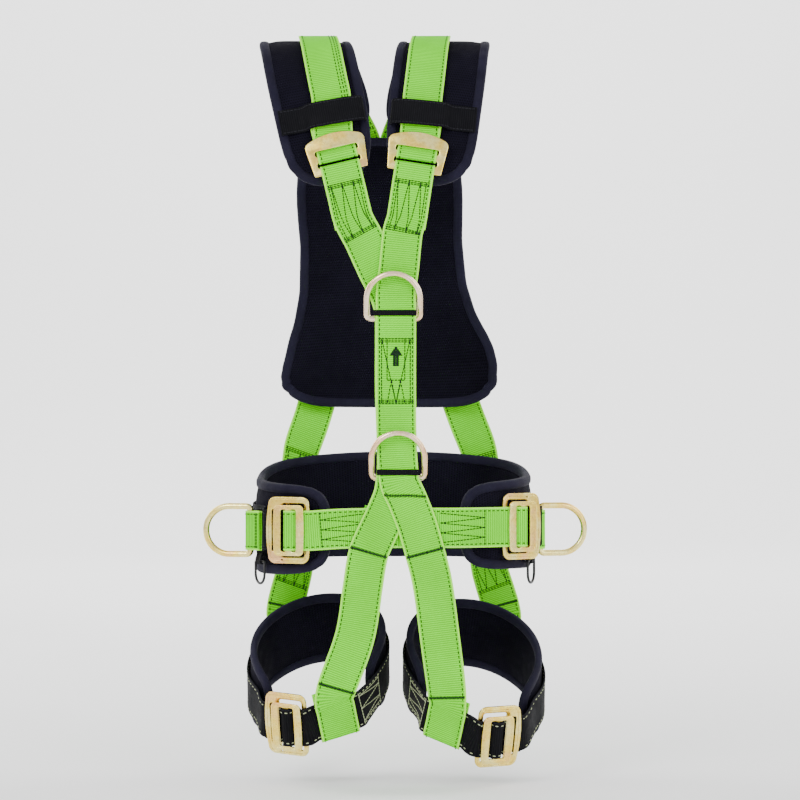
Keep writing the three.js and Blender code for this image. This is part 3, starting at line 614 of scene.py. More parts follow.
# Name, place, target, size and watts.
SOFTBOXES = (
    ("key", (-1.5, -2.2, 1.7), (0, 0, 0.15), (1.2, 1.2), 46),
    ("fill", (1.9, -2.0, 0.9), (0, 0, 0.15), (1.4, 1.6), 26),
    ("rim_left", (-1.6, 0.9, 1.2), (0, 0, 0.2), (0.8, 1.4), 22),
    ("rim_right", (1.6, 0.9, 1.2), (0, 0, 0.2), (0.8, 1.4), 22),
    ("backdrop", (0, 2.6, 3.6), (0, 6.5, 0.4), (6, 2), 420),
)


def stage_and_camera():
    camera_data = bpy.data.cameras.new("camera")
    camera_data.lens = CAMERA_LENS
    camera = linked("camera", camera_data)
    camera.location = CAMERA_PLACE
    camera.rotation_euler = (math.pi / 2, 0, 0)
    bpy.context.scene.camera = camera

    floor_z = CAD_BOX[0][2] - FLOOR_GAP
    back_y, bend, reach = 6.5, 1.5, 12.0
    profile = [(-reach, floor_z), (back_y - bend, floor_z)]
    for k in range(1, 13):
        a = math.pi / 2 * k / 12
        profile.append((back_y - bend + bend * math.sin(a), floor_z + bend * (1 - math.cos(a))))
    profile.append((back_y, floor_z + reach))
    points = [(x, y, z) for y, z in profile for x in (-reach, reach)]
    floor = new_object("floor", points, grid_faces(len(profile), 2).tolist())
    m = Shader("pale_floor")
    m.set(Base_Color=m.ramp(m.noise(0.7, 2), (0.3, 0.93), (0.7, 0.97)), Roughness=0.9)
    floor.data.materials.append(m.material)
    floor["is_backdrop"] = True

    world = bpy.data.worlds.new("studio")
    world.use_nodes = True
    world.node_tree.nodes["Background"].inputs[0].default_value = (1, 1, 1, 1)
    world.node_tree.nodes["Background"].inputs[1].default_value = 1.0
    bpy.context.scene.world = world

    for name, place, target, size, watts in SOFTBOXES:
        light = bpy.data.lights.new(name, "AREA")
        light.shape = "RECTANGLE"
        light.size, light.size_y = size
        light.energy = watts
        lamp = linked(name, light)
        lamp.location = place
        lamp.rotation_euler = (Vector(target) - Vector(place)).to_track_quat("-Z", "Y").to_euler()


stage_and_camera()


# ---- webbing
EDGE = 0.0040  # of the edge stitching from the selvedge
ROWS_APART = 0.0019
PATTERN_PITCH = 0.0037  # of the stitches in zigzags


def edge_seams(ribbon, start=0.0, end=None, insets=(EDGE,), sides=(-1, 1), pitch=0.0043):
    """Stitch lines along one or both edges of a stretch of webbing."""
    end = ribbon.length if end is None else end
    count = max(int((end - start) / 0.02), 1)
    s = np.linspace(start + 0.002, end - 0.002, count + 1)
    parts = []
    for side in sides:
        for inset in insets:
            y = side * (ribbon.half - inset)
            parts.append(seam(ribbon, [(a, y) for a in s], pitch))
    return together(*parts)


def cross_rows(ribbon, s, rows=2):
    """Stitch lines straight across at s."""
    y = ribbon.half - EDGE * 0.6
    places = [s + k * ROWS_APART for k in range(rows)]
    return together(*[seam(ribbon, [(a, -y), (a, y)], pitch=0.0036) for a in places])


def zigzag(ribbon, start, end, legs=4, rows=3):
    """A W of stitches that runs back and forth between two places, with rows at both ends."""
    y = ribbon.half - EDGE - 0.0025
    path = [(end if k % 2 else start, y * (2 * k / legs - 1)) for k in range(legs + 1)]
    return together(
        seam(ribbon, path, PATTERN_PITCH),
        seam(ribbon, [(start, -y), (end, -y)], PATTERN_PITCH),
        seam(ribbon, [(start, y), (end, y)], PATTERN_PITCH),
        cross_rows(ribbon, start, rows),
        cross_rows(ribbon, end - (rows - 1) * ROWS_APART, rows),
    )


TACK_PITCH = 0.0008
TACK_REACH = 0.0022  # of a satin stitch along the webbing, each way
TACK_SLANT = 0.00045


def bar_tack(ribbon, s, slope=0.0):
    """A dense bar of satin stitches across the webbing, square to it unless it has a slope."""
    half = ribbon.half - 0.0015
    y = np.arange(-half, half, TACK_PITCH)
    slant = np.where(np.arange(len(y)) % 2, 1.0, -1.0) * TACK_SLANT
    return on_both_faces(ribbon, s + slope * y, y, TACK_REACH, slant, rise=0.52, root=s)


def sewn(name, ribbon, material, stitches, thread, tacks=(), span=(0.0, None), narrow=1.0, body=HARNESS):
    """Webbing with its stitching, as one piece that stands for the ribbon's CAD node."""
    web = webbing_mesh(name, ribbon, *span, narrow)
    web.data.materials.append(material)
    parts = [web, stitch_mesh(f"{name}_stitches", stitches, thread)]
    if tacks:
        parts.append(stitch_mesh(f"{name}_tacks", together(*tacks), thread, TACK_STITCH))
    strap = join(name, parts)
    piece(strap, body, ribbon.node, WEBBING_SLOTS[material])
    return strap


def shoulder_straps():
    """Over the shoulders, with two more rows on one edge of the right strap."""
    for name in SIDES:
        ribbon = Ribbon(f"shoulder_webbing_{name}", step=0.0025)
        low_box = zigzag(ribbon, ribbon.near(z=0.07, y=0.13), ribbon.near(z=0.018, y=0.13))
        rows = [edge_seams(ribbon), low_box]
        if name == "right":
            chest = ribbon.length * 0.3
            inboard = -1 if ribbon.at(chest, 0.02)[0] < ribbon.at(chest, -0.02)[0] else 1
            top = ribbon.near(z=0.56)
            insets = (EDGE + 0.0028, EDGE + 0.0062)
            rows.append(edge_seams(ribbon, top - 0.14, top + 0.2, insets, (inboard,)))
        sewn(f"shoulder_strap_{name}", ribbon, GREEN, together(*rows), DARK_THREAD)


def front_z(ribbon, z):
    """Where the front layer of a front webbing crosses a height."""
    gap = (ribbon.p[:, 2] - z) ** 2 + (0.25 * (ribbon.p[:, 1] + 0.135)) ** 2
    return ribbon.s[int(np.argmin(gap))]


# Heights of the sewn patterns and bar tacks on the front webbing.
CHEST_BOX = {"right": (0.386, 0.328), "left": (0.390, 0.332)}
THIGH_TACK = {"right": -0.181, "left": -0.191}
LABEL_BOX = (0.213, 0.140)
SPLIT_TACK = 0.037
WAIST_TACK = -0.027


def main_straps():
    """From each adjuster down the middle and on to a leg loop."""
    for name in SIDES:
        ribbon = Ribbon(f"main_webbing_{name}", step=0.0025)
        box = [front_z(ribbon, z) for z in CHEST_BOX[name]]
        stitches = [edge_seams(ribbon), zigzag(ribbon, *box, 5)]
        tacks = [bar_tack(ribbon, front_z(ribbon, z)) for z in (THIGH_TACK[name], WAIST_TACK)]
        if name == "left":
            stitches.append(label_box(ribbon, *[front_z(ribbon, z) for z in LABEL_BOX]))
            split = front_z(ribbon, SPLIT_TACK)
            across = ribbon.at(split, ribbon.half) - ribbon.at(split, -ribbon.half)
            tacks.append(bar_tack(ribbon, split, -across[2] / (2 * ribbon.half * ribbon.climb(split))))
        sewn(f"main_strap_{name}", ribbon, GREEN, together(*stitches), DARK_THREAD, tacks)


def label_box(ribbon, start, end):
    """The crossed box between the rings, with an embroidered arrow that shows which way is up."""
    y = ribbon.half - EDGE - 0.0025
    head, tip = 0.0095, start + 0.010
    rows = []
    for k in range(24):
        s = tip + 0.0009 * k
        reach = 0.0062 * (s - tip) / head if s - tip < head else 0.0022
        rows.append(seam(ribbon, [(s, -reach - 0.0012), (s, reach + 0.0012)], pitch=0.0026))
    low, side = end - 0.026, y * 0.62
    box = [(start, -side), (low, -side), (low, side), (start, side)]
    legs = [(low if k % 2 else end, side * (k / 2 - 1)) for k in range(5)]
    return together(
        zigzag(ribbon, start, end, 2),
        seam(ribbon, box, pitch=0.0038),
        seam(ribbon, legs, pitch=0.0038),
        *rows,
    )


def inner_frame(where):
    """Pivot, upward axis, outward normal and inboard direction of a buckle's inner frame."""
    joint = JOINTS[f"{where}_inner_lift"]
    points, _, _ = merged(f"{where}_inner_frame")
    v = Vector(joint["axis"]).normalized()
    pivot = Vector(joint["pos_m"])
    centre = Vector(points.mean(0))
    u = (pivot - centre) - v * (pivot - centre).dot(v)
    u.normalize()
    return pivot, u, v, u.cross(v)


WAIST_ZIGZAG = {"right": (-0.086, -0.030), "left": (0.108, 0.050)}  # x of its two ends


def waist_front():
    """The front strap, in two pieces that meet under the crossing webbing."""
    ribbon = Ribbon("front_waist_strap", step=0.0015)
    middle = ribbon.near(x=0.004)
    for name in SIDES:
        first = (ribbon.p[0][0] < 0) == (name == "right")
        span = (0.0, middle) if first else (middle, ribbon.length)
        a, b = sorted(ribbon.near(x=x, y=-0.13) for x in WAIST_ZIGZAG[name])
        stitches = together(
            edge_seams(ribbon, *span, pitch=0.0048),
            zigzag_long(ribbon, a, b, outer=a if first else b),
        )
        strap = sewn(f"waist_strap_{name}", ribbon, GREEN, stitches, DARK_THREAD, span=span, body=None)
        follow_inner(strap, f"waist_{name}")


def zigzag_long(ribbon, a, b, outer, legs=3):
    """Long narrow Ws of stitches pointing away from a buckle, with one row at its end."""
    y = ribbon.half - EDGE - 0.002
    far = b if outer == a else a
    parts = [cross_rows(ribbon, outer, rows=1)]
    for k in range(legs):
        low = y * (2 * k / legs - 1)
        high = y * (2 * (k + 1) / legs - 1)
        path = [(far, low), (outer, (low + high) / 2), (far, high)]
        parts.append(seam(ribbon, path, PATTERN_PITCH))
    return together(*parts)


def follow_inner(obj, where):
    """Webbing sewn to an inner frame: its transform is baked into its mesh, and it does not bend at the
    frame's inboard edge.
    """
    pivot, u, _, _ = inner_frame(where)
    start, end = tuple(pivot + u * 0.008), tuple(pivot - u * 0.002)
    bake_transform(obj)
    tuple(start)
    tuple(end)


def belt_webbing():
    ribbon = Ribbon("rear_waist_webbing")
    sewn("rear_belt_strap", ribbon, BLACK, edge_seams(ribbon), BLACK_THREAD)
    for name in SIDES:
        backing = Ribbon(f"waist_backing_{name}")
        rows = edge_seams(backing, insets=(EDGE + 0.003,))
        sewn(f"waist_backing_strap_{name}", backing, GREEN, rows, DARK_THREAD, narrow=0.86)


def leg_straps():
    """Each leg webbing in two pieces, parted where the main webbing's loop hangs on it."""
    for name in SIDES:
        ribbon = Ribbon(f"leg_webbing_{name}", step=0.0018)
        pivot = inner_frame(f"leg_{name}")[0]
        loop_end = Ribbon(f"main_webbing_{name}").p[-1]
        fold = ribbon.s[int(np.argmin(lengths_of(ribbon.p - loop_end)))]
        front, rear, way = (0.0, fold), (fold, ribbon.length), 1
        if np.linalg.norm(ribbon.p[0] - np.array(pivot)) >= 0.03:
            front, rear, way = rear, front, -1
        seams = {span: edge_seams(ribbon, *span, pitch=0.0052) for span in (front, rear)}
        strap = sewn(
            f"leg_strap_{name}_front", ribbon, BLACK, seams[front], CREAM_THREAD, span=front, body=None
        )
        follow_inner(strap, f"leg_{name}")
        box = sorted((fold + way * 0.030, fold + way * 0.072))
        stitches = together(seams[rear], zigzag(ribbon, *box, rows=1))
        sewn(f"leg_strap_{name}_rear", ribbon, BLACK, stitches, CREAM_THREAD, span=rear)


def rear_straps():
    for name in SIDES:
        ribbon = Ribbon(f"rear_leg_strap_{name}")
        box = zigzag(ribbon, ribbon.near(z=-0.050, y=0.11), ribbon.near(z=-0.088, y=0.09), 5)
        stitches = together(edge_seams(ribbon), box)
        tack = bar_tack(ribbon, ribbon.near(z=-0.112, y=0.08))
        sewn(f"rear_strap_{name}", ribbon, GREEN, stitches, DARK_THREAD, [tack])


def small_loops():
    """The side rings' loops, the gear rings' tabs and the bands over the shoulder straps."""
    for name in SIDES:
        loop = Ribbon(f"side_ring_loop_{name}", step=0.001)
        ends = [cross_rows(loop, s) for s in (0.004, loop.length - 0.007)]
        sewn(f"side_loop_{name}", loop, GREEN, together(*ends, edge_seams(loop)), DARK_THREAD)
        tab = Ribbon(f"gear_loop_{name}", step=0.0008)
        rows = edge_seams(tab, insets=(0.002,), pitch=0.003)
        sewn(f"gear_tab_{name}", tab, BLACK, rows, BLACK_THREAD)
        band = Ribbon(f"shoulder_band_{name}", step=0.001)
        rows = edge_seams(band, insets=(0.0022,), pitch=0.0036)
        sewn(f"retainer_{name}", band, BLACK, rows, BLACK_THREAD)


# Round a keeper's section: share of its height, share of half its depth forwards.
KEEPER_SECTION = [(-0.5, 0.0), (-0.42, 0.8), (-0.2, 1.0), (0.2, 1.0), (0.42, 0.8), (0.5, 0.0)]
KEEPER_SECTION += [(0.4, -0.8), (-0.4, -0.8)]


def keepers():
    """Narrow black bands stitched over the webbing at each front ring."""
    for where in ("sternal", "ventral"):
        node = f"{where}_keeper"
        low, high = (np.array(c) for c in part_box(node))
        middle, size = (low + high) / 2, high - low
        turns = 40
        half_x, radius = size[0] / 2, size[1] * 0.9
        points, uvs = [], []
        for k in range(turns + 1):
            x = -half_x + size[0] * k / turns
            sink = max(0.0, abs(x) - (half_x - radius)) / radius
            y = middle[1] + size[1] * 0.55 * sink**2
            for z, bulge in KEEPER_SECTION:
                points.append((middle[0] + x, y - size[1] * 0.5 * bulge, middle[2] + z * size[2]))
                uvs.append((x, z * size[2]))
        band = rod(f"{where}_band", points, turns + 1, len(KEEPER_SECTION), uvs)
        piece(band, HARNESS, node, "black_webbing", BLACK)


# ---- rings
def outwards(path):
    """Unit vectors to the right of a closed flat path's run."""
    ahead = unit(np.roll(path, -1, 0) - np.roll(path, 1, 0))
    return np.stack([ahead[:, 1], -ahead[:, 0]], 1)


def ring_path(width, height, stock, corner):
    """A D ring's centre line as (u, v): straight bar at v = 0, round bow above it."""
    half = width / 2 - stock / 2
    rise = height - stock / 2 - width / 2
    arc = lambda cx, cy, r, a0, a1, n: [
        (cx + r * math.cos(math.radians(a)), cy + r * math.sin(math.radians(a)))
        for a in np.linspace(a0, a1, n)
    ]
    path = [(x, 0.0) for x in np.linspace(-half + corner, half - corner, 14)]
    path += arc(half - corner, corner, corner, -90, 0, 10)[1:]
    path += [(half, y) for y in np.linspace(corner, rise, 6)][1:]
    path += arc(0, rise, half, 0, 180, 48)[1:]
    path += [(-half, y) for y in np.linspace(rise, corner, 6)][1:]
    path += arc(-half + corner, corner, corner, 180, 270, 10)[1:-1]
    return np.array(path)


def ring(node, slot, material, size, around=20):
    """A forged D ring on its joint's axis. Its bow points to the middle of the CAD ring."""
    width, height, stock = size
    spec = JOINTS[f"{node}_hinge"]
    origin = np.array(spec["pos_m"])
    u = unit(np.array(spec["axis"], float))
    low, high = (np.array(c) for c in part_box(node))
    v = (low + high) / 2 - origin
    v = unit(v - (v @ u) * u)
    n = np.cross(u, v)
    path = ring_path(width, height, stock, stock * 0.75)
    out = outwards(path)
    angles = 2 * math.pi * np.arange(around) / around
    radius = stock / 2
    points = []
    for (a, b), (oa, ob) in zip(path, out):
        for angle in angles:
            side = radius * math.cos(angle)
            lift = radius * math.sin(angle)
            points.append(origin + u * (a + oa * side) + v * (b + ob * side) + n * lift)
    piece(torus(f"{node}_forged", points, len(path), around), f"{node}_body", node, slot, material)


# Each ring's width, height and stock.
FRONT_RING = (0.066, 0.058, 0.0068)
DORSAL_RING = (0.084, 0.070, 0.007)
SIDE_RING = (0.062, 0.060, 0.0072)
GEAR_RING = (0.027, 0.028, 0.003)


def rings():
    ring("sternal_ring", "plated_steel", ROSE_ZINC, FRONT_RING)
    ring("ventral_ring", "plated_steel", ROSE_ZINC, FRONT_RING)
    ring("dorsal_ring", "plated_steel", ZINC, DORSAL_RING)
    for name in SIDES:
        ring(f"side_ring_{name}", "plated_steel", ZINC, SIDE_RING)
        ring(f"gear_ring_{name}", "black_steel", WIRE, GEAR_RING)


# ---- flat metal and plastic
def rounded(left, right, low, high, r, bow=(0.0, 0.0), steps=8):
    """A rectangle with round corners. bow swells its left and right sides outwards."""
    points = []
    corners = [(right - r, low + r, -90), (right - r, high - r, 0)]
    corners += [(left + r, high - r, 90), (left + r, low + r, 180)]
    sides = {-90: (right, bow[1], low + r, high - r), 90: (left, -bow[0], high - r, low + r)}
    for cx, cy, a0 in corners:
        for k in range(steps + 1):
            a = math.radians(a0 + 90 * k / steps)
            points.append((cx + r * math.cos(a), cy + r * math.sin(a)))
        if a0 in sides:
            x, swell, start, end = sides[a0]
            for t in (k / 12 for k in range(1, 12)):
                points.append((x + swell * 4 * t * (1 - t), start + (end - start) * t))
    return points


def plate(name, outlines, thick, bevel, place):
    """A flat plate with holes and rounded rims, from outlines in mm in its own frame."""
    curve = bpy.data.curves.new(name, "CURVE")
    curve.dimensions = "2D"
    curve.fill_mode = "BOTH"
    curve.extrude = (thick / 2 - bevel) * MM
    curve.bevel_depth = bevel * MM
    curve.bevel_resolution = 3
    curve.offset = -bevel * MM
    for outline in outlines:
        spline = curve.splines.new("POLY")
        spline.points.add(len(outline) - 1)
        for point, (x, y) in zip(spline.points, outline):
            point.co = (x * MM, y * MM, 0, 1)
        spline.use_cyclic_u = True
    holder = linked(name, curve)
    bpy.context.view_layer.update()
    filled = holder.evaluated_get(bpy.context.evaluated_depsgraph_get())
    mesh = bpy.data.meshes.new_from_object(filled)
    bpy.data.objects.remove(holder)
    face_outwards(mesh, merge=2e-6)
    mesh.name = name
    mesh.polygons.foreach_set("use_smooth", [True] * len(mesh.polygons))
    mesh.set_sharp_from_angle(angle=math.radians(38))
    mesh.transform(place)
    return linked(name, mesh)


def frame_matrix(origin, u, v, n):
    return Matrix.Translation(origin) @ Matrix((u, v, n)).transposed().to_4x4()


OUTER = [
    rounded(-26, 24, -37.5, 37.5, 9, (2.4, 1.2)),
    rounded(-21, -15.2, -24, 24, 2.4),
    rounded(-9.2, 18.5, -30, 30, 3),
    rounded(-10.2, -8, -34.8, -32.6, 1.09),
]
INNER = [
    rounded(-16, 20, -28.5, 28.5, 5.5, (0.8, 0.8)),
    rounded(5, 11.2, -23.6, 23.6, 2.2),
    rounded(-7.2, -1, -23.6, 23.6, 2.2),
]
INNER_EDGE, INNER_RISE = 20, 8.1  # of the inner frame's pivot in the outer frame's own frame
# Centre lines of the ridges on the outer and inner frames.
OUTER_LINE = rounded(-23.2, 21.2, -34.6, 34.6, 7, (2.2, 1.1))
INNER_LINE = rounded(-13.6, 17.6, -26.3, 26.3, 4, (0.7, 0.7))
OUTER_THICK, INNER_THICK, RIM = 3.2, 3.0, 1.1


def buckles():
    """Pass-through buckles: an outer frame and, on top, an inner frame with a slotted bar."""
    for where in ("waist_right", "waist_left", "leg_right", "leg_left"):
        pivot, u, v, n = inner_frame(where)
        origin = pivot - u * INNER_EDGE * MM - n * INNER_RISE * MM
        seat = frame_matrix(origin, u, v, n)
        outer = plate(f"{where}_outer_plate", OUTER, OUTER_THICK, RIM, seat)
        outer = join(outer.name, [outer, ridge(f"{where}_line", OUTER_LINE, 1.6, 0.6, seat)])
        piece(outer, HARNESS, f"{where}_outer_frame", "plated_steel", ZINC)
        raised = frame_matrix(origin + n * INNER_RISE * MM, u, v, n)
        inner = plate(f"{where}_inner_plate", INNER, INNER_THICK, 1.0, raised)
        details = [dimple(where, k, raised) for k in range(4)]
        details.append(ridge(f"{where}_rim", INNER_LINE, 1.5, 0.5, raised))
        inner = join(inner.name, [inner] + details)
        piece(inner, f"{where}_inner_body", f"{where}_inner_frame", "plated_steel", ZINC)


def ridge(name, outline, lift, radius, place, around=8):
    """A fine raised line that follows an outline on a plate's face."""
    path = np.array(outline) * MM
    points = []
    for here, side in zip(path, outwards(path)):
        for k in range(around):
            a = 2 * math.pi * k / around
            flat = here + side * radius * MM * math.cos(a)
            points.append((flat[0], flat[1], (lift + radius * 0.8 * math.sin(a)) * MM))
    obj = torus(name, points, len(path), around)
    obj.data.transform(place)
    return obj


DIMPLE_RINGS = ((0.5, 0.02), (0.85, 0.28), (1.15, 0.02))  # radius and height over the face
DIMPLE_X, FIRST_DIMPLE_Y, DIMPLES_APART = 15.6, -13.5, 9


def dimple(where, k, place, around=12):
    """One of the small punched rims on the inner frame's inboard bar."""
    middle_y = FIRST_DIMPLE_Y + DIMPLES_APART * k
    points = []
    for r, z in DIMPLE_RINGS:
        for j in range(around):
            a = 2 * math.pi * j / around
            x, y = DIMPLE_X + r * math.cos(a), middle_y + r * math.sin(a)
            points.append((x * MM, y * MM, (INNER_THICK / 2 + z) * MM))
    faces = grid_faces(len(DIMPLE_RINGS), around, close_columns=True).tolist()
    obj = new_object(f"{where}_dimple_{k}", points, faces)
    obj.data.transform(place)
    return obj


def arch(half, low, slope_top, top):
    """A shoulder adjuster's outline: square foot, slanting cheeks and an arched top."""
    bezier = lambda a, b, c, n: [
        tuple((1 - t) ** 2 * a[k] + 2 * t * (1 - t) * b[k] + t * t * c[k] for k in (0, 1))
        for t in np.linspace(0, 1, n)
    ]
    outline = bezier((half - 6, low), (half - 3, low), (half - 3, low + 4), 7)
    outline += bezier((half, 8), (half, 14), (half - 5, slope_top), 10)
    outline += bezier((half - 5, slope_top), (0, top), (-half + 5, slope_top), 24)[1:]
    outline += bezier((-half + 5, slope_top), (-half, 14), (-half, 8), 10)[1:]
    outline += bezier((-half + 3, low + 4), (-half + 3, low), (-half + 6, low), 7)
    return outline


ADJUSTER_FOOT = 25  # below the middle bar
ADJUSTER = [
    arch(34, -ADJUSTER_FOOT, 16, 28),
    rounded(-24.5, 24.5, -2.5, 4, 2.4),
    rounded(-24.5, 24.5, -16, -9.5, 2.4),
]


def adjusters():
    """Three-bar adjusters, laid on the CAD solid's own main directions."""
    for name in SIDES:
        node = f"shoulder_adjuster_{name}"
        points, _, _ = merged(node)
        centred = points - points.mean(0)
        axes = np.linalg.eigh(centred.T @ centred)[1]
        n = -axes[:, 0] * np.sign(axes[1, 0])
        u = axes[:, 2] * np.sign(axes[0, 2])
        v = np.cross(n, u)
        bar = (points @ v).min() + ADJUSTER_FOOT * MM
        middle = ((points @ u).min() + (points @ u).max()) / 2
        face = ((points @ n).min() + (points @ n).max()) / 2
        origin = Vector(u * middle + v * bar + n * face)
        place = frame_matrix(origin, Vector(u), Vector(v), Vector(n))
        obj = plate(f"{node}_plate", ADJUSTER, OUTER_THICK, RIM, place)
        piece(obj, HARNESS, node, "plated_steel", ZINC)


def dorsal():
    """The two-slot plate that holds the crossing at the spine."""
    low, high = (np.array(c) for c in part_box("dorsal_plate"))
    origin = Vector((low + high) / 2)
    outlines = [
        rounded(-46, 46, -46, 46, 10),
        rounded(-37, 37, 8, 36, 3.4),
        rounded(-37, 37, -36, -8, 3.4),
    ]
    place = frame_matrix(origin, Vector((-1, 0, 0)), Vector((0, 0, 1)), Vector((0, 1, 0)))
    obj = plate("dorsal_webbing_plate", outlines, 3.0, 0.9, place)
    piece(obj, HARNESS, "dorsal_plate", "black_plastic", NYLON)


# ---- pads
IN_FRONT = np.array([0.0, -1.0, 0.3])  # a place the back pad's inner face looks at


class PadShape:
    """A pad's middle surface, thickness and smoothed outline, read from its CAD solid.

    Places on it are (s, y): metres along the middle line and across it.
    """

    def __init__(self, node, wide):
        rows = sections(node, wide)
        self.middle = rows.mean(1)
        centre = self.middle[:, wide // 2]
        self.knots = travelled(centre)
        self.length = self.knots[-1]
        self.half = lengths_of(np.diff(self.middle, axis=1)).sum(1) / 2
        self.thick = np.median(lengths_of(rows[:, 0, wide // 2] - rows[:, 1, wide // 2]))
        self.wide = wide
        self.loop = self.outline()
        halfway = np.array([self.length / 2]), np.array([0.0])
        away = self.normal(*halfway)[0]
        core = self.middle.reshape(-1, 3).mean(0)
        if node == "back_pad":
            core = IN_FRONT
        self.flip = 1.0 if away @ (self.at(*halfway)[0] - core) > 0 else -1.0

    def at(self, s, y):
        """Points on the middle surface."""
        s, y = np.asarray(s, float), np.asarray(y, float)
        inside = np.clip(s, 0, self.length)
        columns = [smooth_at(self.middle[:, k], self.knots, inside) for k in range(self.wide)]
        t = np.clip(y / np.interp(inside, self.knots, self.half), -1, 1)
        place = (t + 1) / 2 * (self.wide - 1)
        low = np.clip(place.astype(int), 0, self.wide - 2)
        share = (place - low)[:, None]
        columns = np.array(columns)
        if self.wide > 3:
            return self.cupped(columns, t)
        index = np.arange(len(s))
        return columns[low, index] * (1 - share) + columns[low + 1, index] * share

    def cupped(self, columns, t):
        """A parabola through the two edges and the middle of each section."""
        a, b, c = columns[0], columns[self.wide // 2], columns[-1]
        t = t[:, None]
        return b + (c - a) / 2 * t + ((a + c) / 2 - b) * t * t

    def normal(self, s, y):
        d = 0.002
        along = self.at(s + d, y) - self.at(s - d, y)
        across = self.at(s, y + d) - self.at(s, y - d)
        return unit(np.cross(along, across))

    def outline(self, spacing=0.003, rounds=46):
        """The pad's outline as a closed loop of (s, y), its corners rounded off."""
        side = np.stack([self.knots, self.half], 1)
        corners = np.concatenate([side, side[::-1] * (1, -1), side[:1]])
        run = travelled(corners)
        where = np.linspace(0, run[-1], int(run[-1] / spacing) + 1)[:-1]
        loop = np.stack([np.interp(where, run, corners[:, k]) for k in (0, 1)], 1)
        for _ in range(rounds):
            loop = 0.5 * loop + 0.25 * (np.roll(loop, 1, 0) + np.roll(loop, -1, 0))
        return loop

    def half_at(self, s):
        """The smoothed outline's half width."""
        upper = self.loop[self.loop[:, 1] > 0]
        order = np.argsort(upper[:, 0])
        return np.interp(s, upper[order, 0], upper[order, 1])

    def depth(self, s, y):
        """Distance in from the outline."""
        return np.array([lengths_of(self.loop - p).min() for p in np.stack([s, y], -1)])


PAD_TIGHT = 0.0055  # how far in from the outline the panel starts, inside the binding
CROWN_REACH = 0.011  # from the panel's edge to where it is nearly full


def panel(name, shape, cell=0.0042):
    """The foam panel: a closed crowned body, blown up a little as cloth and held at its edge."""
    ends = shape.loop[:, 0].min() + PAD_TIGHT, shape.loop[:, 0].max() - PAD_TIGHT
    s = np.linspace(*ends, int((ends[1] - ends[0]) / cell) + 1)
    half = np.maximum(shape.half_at(s) - PAD_TIGHT, 0.004)
    columns = int(half.max() * 2 / cell) + 1
    t = np.linspace(-1, 1, columns)
    grid_s = np.repeat(s, columns)
    grid_y = (half[:, None] * t).ravel()
    depth = np.maximum(shape.depth(grid_s, grid_y) - PAD_TIGHT, 0)
    full = shape.thick / 2
    crown = 1 - np.exp(-((depth / CROWN_REACH) ** 2))
    lift = full * (0.34 + 0.46 * crown)
    ripple = 0.00022 * np.sin(grid_s * 190 + 2 * np.sin(grid_y * 70)) * crown
    middle = shape.at(grid_s, grid_y)
    normal = shape.normal(grid_s, grid_y) * shape.flip
    count = len(s)

    def both_faces(outer, inner):
        """Rows that run out over the outer face and come back over the inner one."""
        shape_of = (count, columns, -1)
        rows = np.concatenate([outer.reshape(shape_of), inner.reshape(shape_of)[:, ::-1]], axis=1)
        return rows.reshape(2 * count * columns, -1)

    raised = normal * (lift + ripple)[:, None]
    flat = np.stack([grid_s, grid_y], -1)
    faces = grid_faces(count, 2 * columns, close_columns=True).tolist()
    for row in (0, count - 1):
        base = row * 2 * columns
        for k in range(columns - 1):
            far = base + 2 * columns - 1 - k
            faces.append([base + k, base + k + 1, far - 1, far])
    obj = solid(name, both_faces(middle + raised, middle - raised), faces, both_faces(flat, flat))
    held = both_faces(depth, depth).ravel() < 0.004
    room = full - lift
    inflate(obj, held, np.maximum(both_faces(room, room).ravel(), 0.0))
    refine = obj.modifiers.new("fine", "SUBSURF")
    refine.levels = refine.render_levels = 1
    return obj


CLOTH_FRAMES = 20
CLOTH_PRESSURE = 4.0


def inflate(obj, pinned, limit):
    """Cloth under a little air pressure, each point held to its own limit, then applied."""
    group = obj.vertex_groups.new(name="pinned")
    group.add([int(k) for k in np.nonzero(pinned)[0]], 1.0, "REPLACE")
    before = np.array([v.co[:] for v in obj.data.vertices])
    cloth = obj.modifiers.new("cloth", "CLOTH")
    settings = cloth.settings
    settings.quality = 4
    settings.use_pressure = True
    settings.uniform_pressure_force = CLOTH_PRESSURE
    settings.vertex_group_mass = "pinned"
    settings.tension_stiffness = 18
    settings.compression_stiffness = 12
    settings.bending_stiffness = 0.3
    settings.effector_weights.gravity = 0
    cloth.point_cache.frame_start = 1
    cloth.point_cache.frame_end = CLOTH_FRAMES
    scene = bpy.context.scene
    for k in range(1, CLOTH_FRAMES + 1):
        scene.frame_set(k)
    evaluated = obj.evaluated_get(bpy.context.evaluated_depsgraph_get())
    after = np.array([v.co[:] for v in evaluated.data.vertices])
    obj.modifiers.remove(cloth)
    obj.vertex_groups.remove(group)
    scene.frame_set(1)
    move = after - before
    size = lengths_of(move)
    move *= (np.minimum(size, limit) / np.maximum(size, 1e-9))[:, None]
    obj.data.vertices.foreach_set("co", (before + move).ravel())
    obj.data.update()


TAPE_REACH = 0.0056  # half the tape's width over the pad
TAPE_RISE = 0.38  # share of the pad's thickness
TAPE_STITCH_PITCH = 0.0042


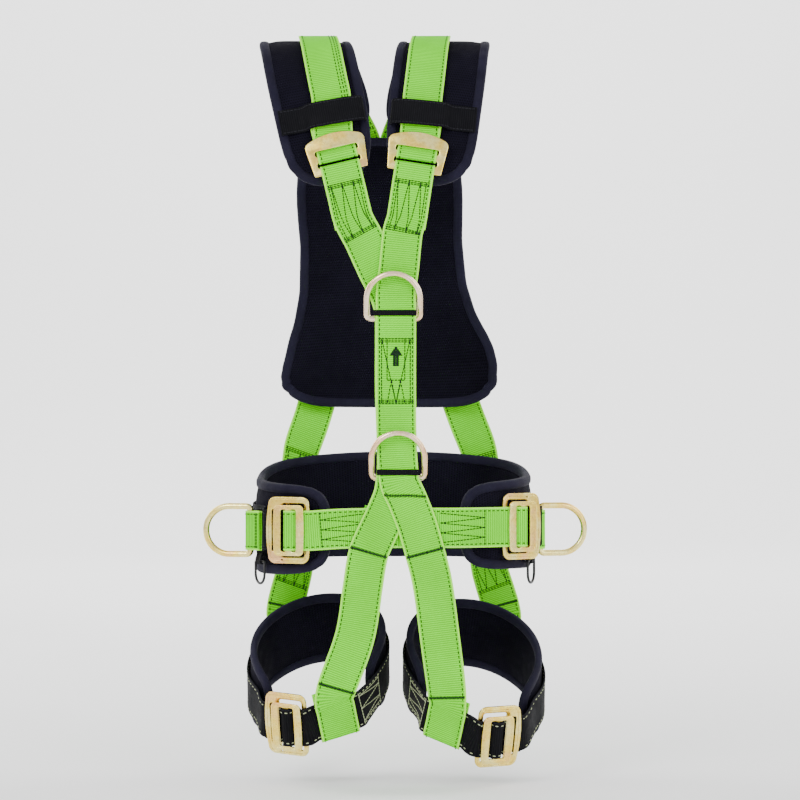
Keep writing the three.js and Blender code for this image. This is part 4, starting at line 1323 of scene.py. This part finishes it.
def binding(name, shape, around=20):
    """Folded tape over the pad's edge, with a row of stitches down its inner margin."""
    loop = shape.loop
    s, y = loop[:, 0], loop[:, 1]
    middle = shape.at(s, y)
    ahead = unit(np.roll(middle, -1, 0) - np.roll(middle, 1, 0))
    normal = shape.normal(s, y) * shape.flip
    out = np.cross(ahead, normal)
    area = (s * np.roll(y, -1) - np.roll(s, -1) * y).sum()
    inward = outwards(loop) * -np.sign(area) * 0.003
    inside = shape.at(s + inward[:, 0], y + inward[:, 1]) - middle
    out *= -np.sign((out * inside).sum(1))[:, None]
    high = shape.thick * TAPE_RISE
    points, uvs = [], []
    run = travelled(middle)
    for k in range(around):
        turn = k / around
        c, d = (
            math.copysign(abs(part) ** 0.75, part)
            for part in (math.cos(2 * math.pi * turn), math.sin(2 * math.pi * turn))
        )
        points.append(middle + out * (TAPE_REACH * (c - 1)) + normal * (high * d))
        uvs.append(np.stack([run, np.full(len(run), turn * 0.03)], 1))
    points = np.array(points).transpose(1, 0, 2).reshape(-1, 3)
    uvs = np.array(uvs).transpose(1, 0, 2).reshape(-1, 2)
    tape = torus(name, points, len(loop), around, uvs)
    tape.data.materials.append(BINDING)
    place = np.linspace(0, len(loop) - 1, int(run[-1] / TAPE_STITCH_PITCH), endpoint=False)
    pick = lambda a: np.stack([np.interp(place, np.arange(len(loop)), a[:, j]) for j in range(3)], 1)
    across, up, along = unit(pick(out)), unit(pick(normal)), unit(pick(ahead))
    margin = pick(middle) + across * (-1.86 * TAPE_REACH)
    rows = [(margin + up * (face * high * 0.47), along, up * face) for face in FACES]
    return join(name, [tape, stitch_mesh(f"{name}_stitches", together(*rows), BLACK_THREAD, TAPE_STITCH)])


def pads():
    """Every pad, with the number of points across its CAD sections."""
    nodes = [("back_pad", 5), ("waist_pad", 3)]
    nodes += [(f"{where}_pad_{name}", 3) for where in ("shoulder", "leg") for name in SIDES]
    for node, wide in nodes:
        shape = PadShape(node, wide)
        foam = panel(f"{node}_panel", shape)
        piece(foam, HARNESS, node, "pad_fabric", MESH_FABRIC)
        piece(binding(f"{node}_binding", shape), HARNESS, None, "pad_fabric")


# ---- the saddle
pads()
shoulder_straps()
main_straps()
waist_front()
belt_webbing()
leg_straps()
rear_straps()
small_loops()
keepers()
rings()
buckles()
adjusters()
dorsal()

VISUAL_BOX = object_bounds()
plain = lambda box: [[float(x) for x in corner] for corner in box]
{"cad": plain(CAD_BOX), "visual": plain(VISUAL_BOX)}
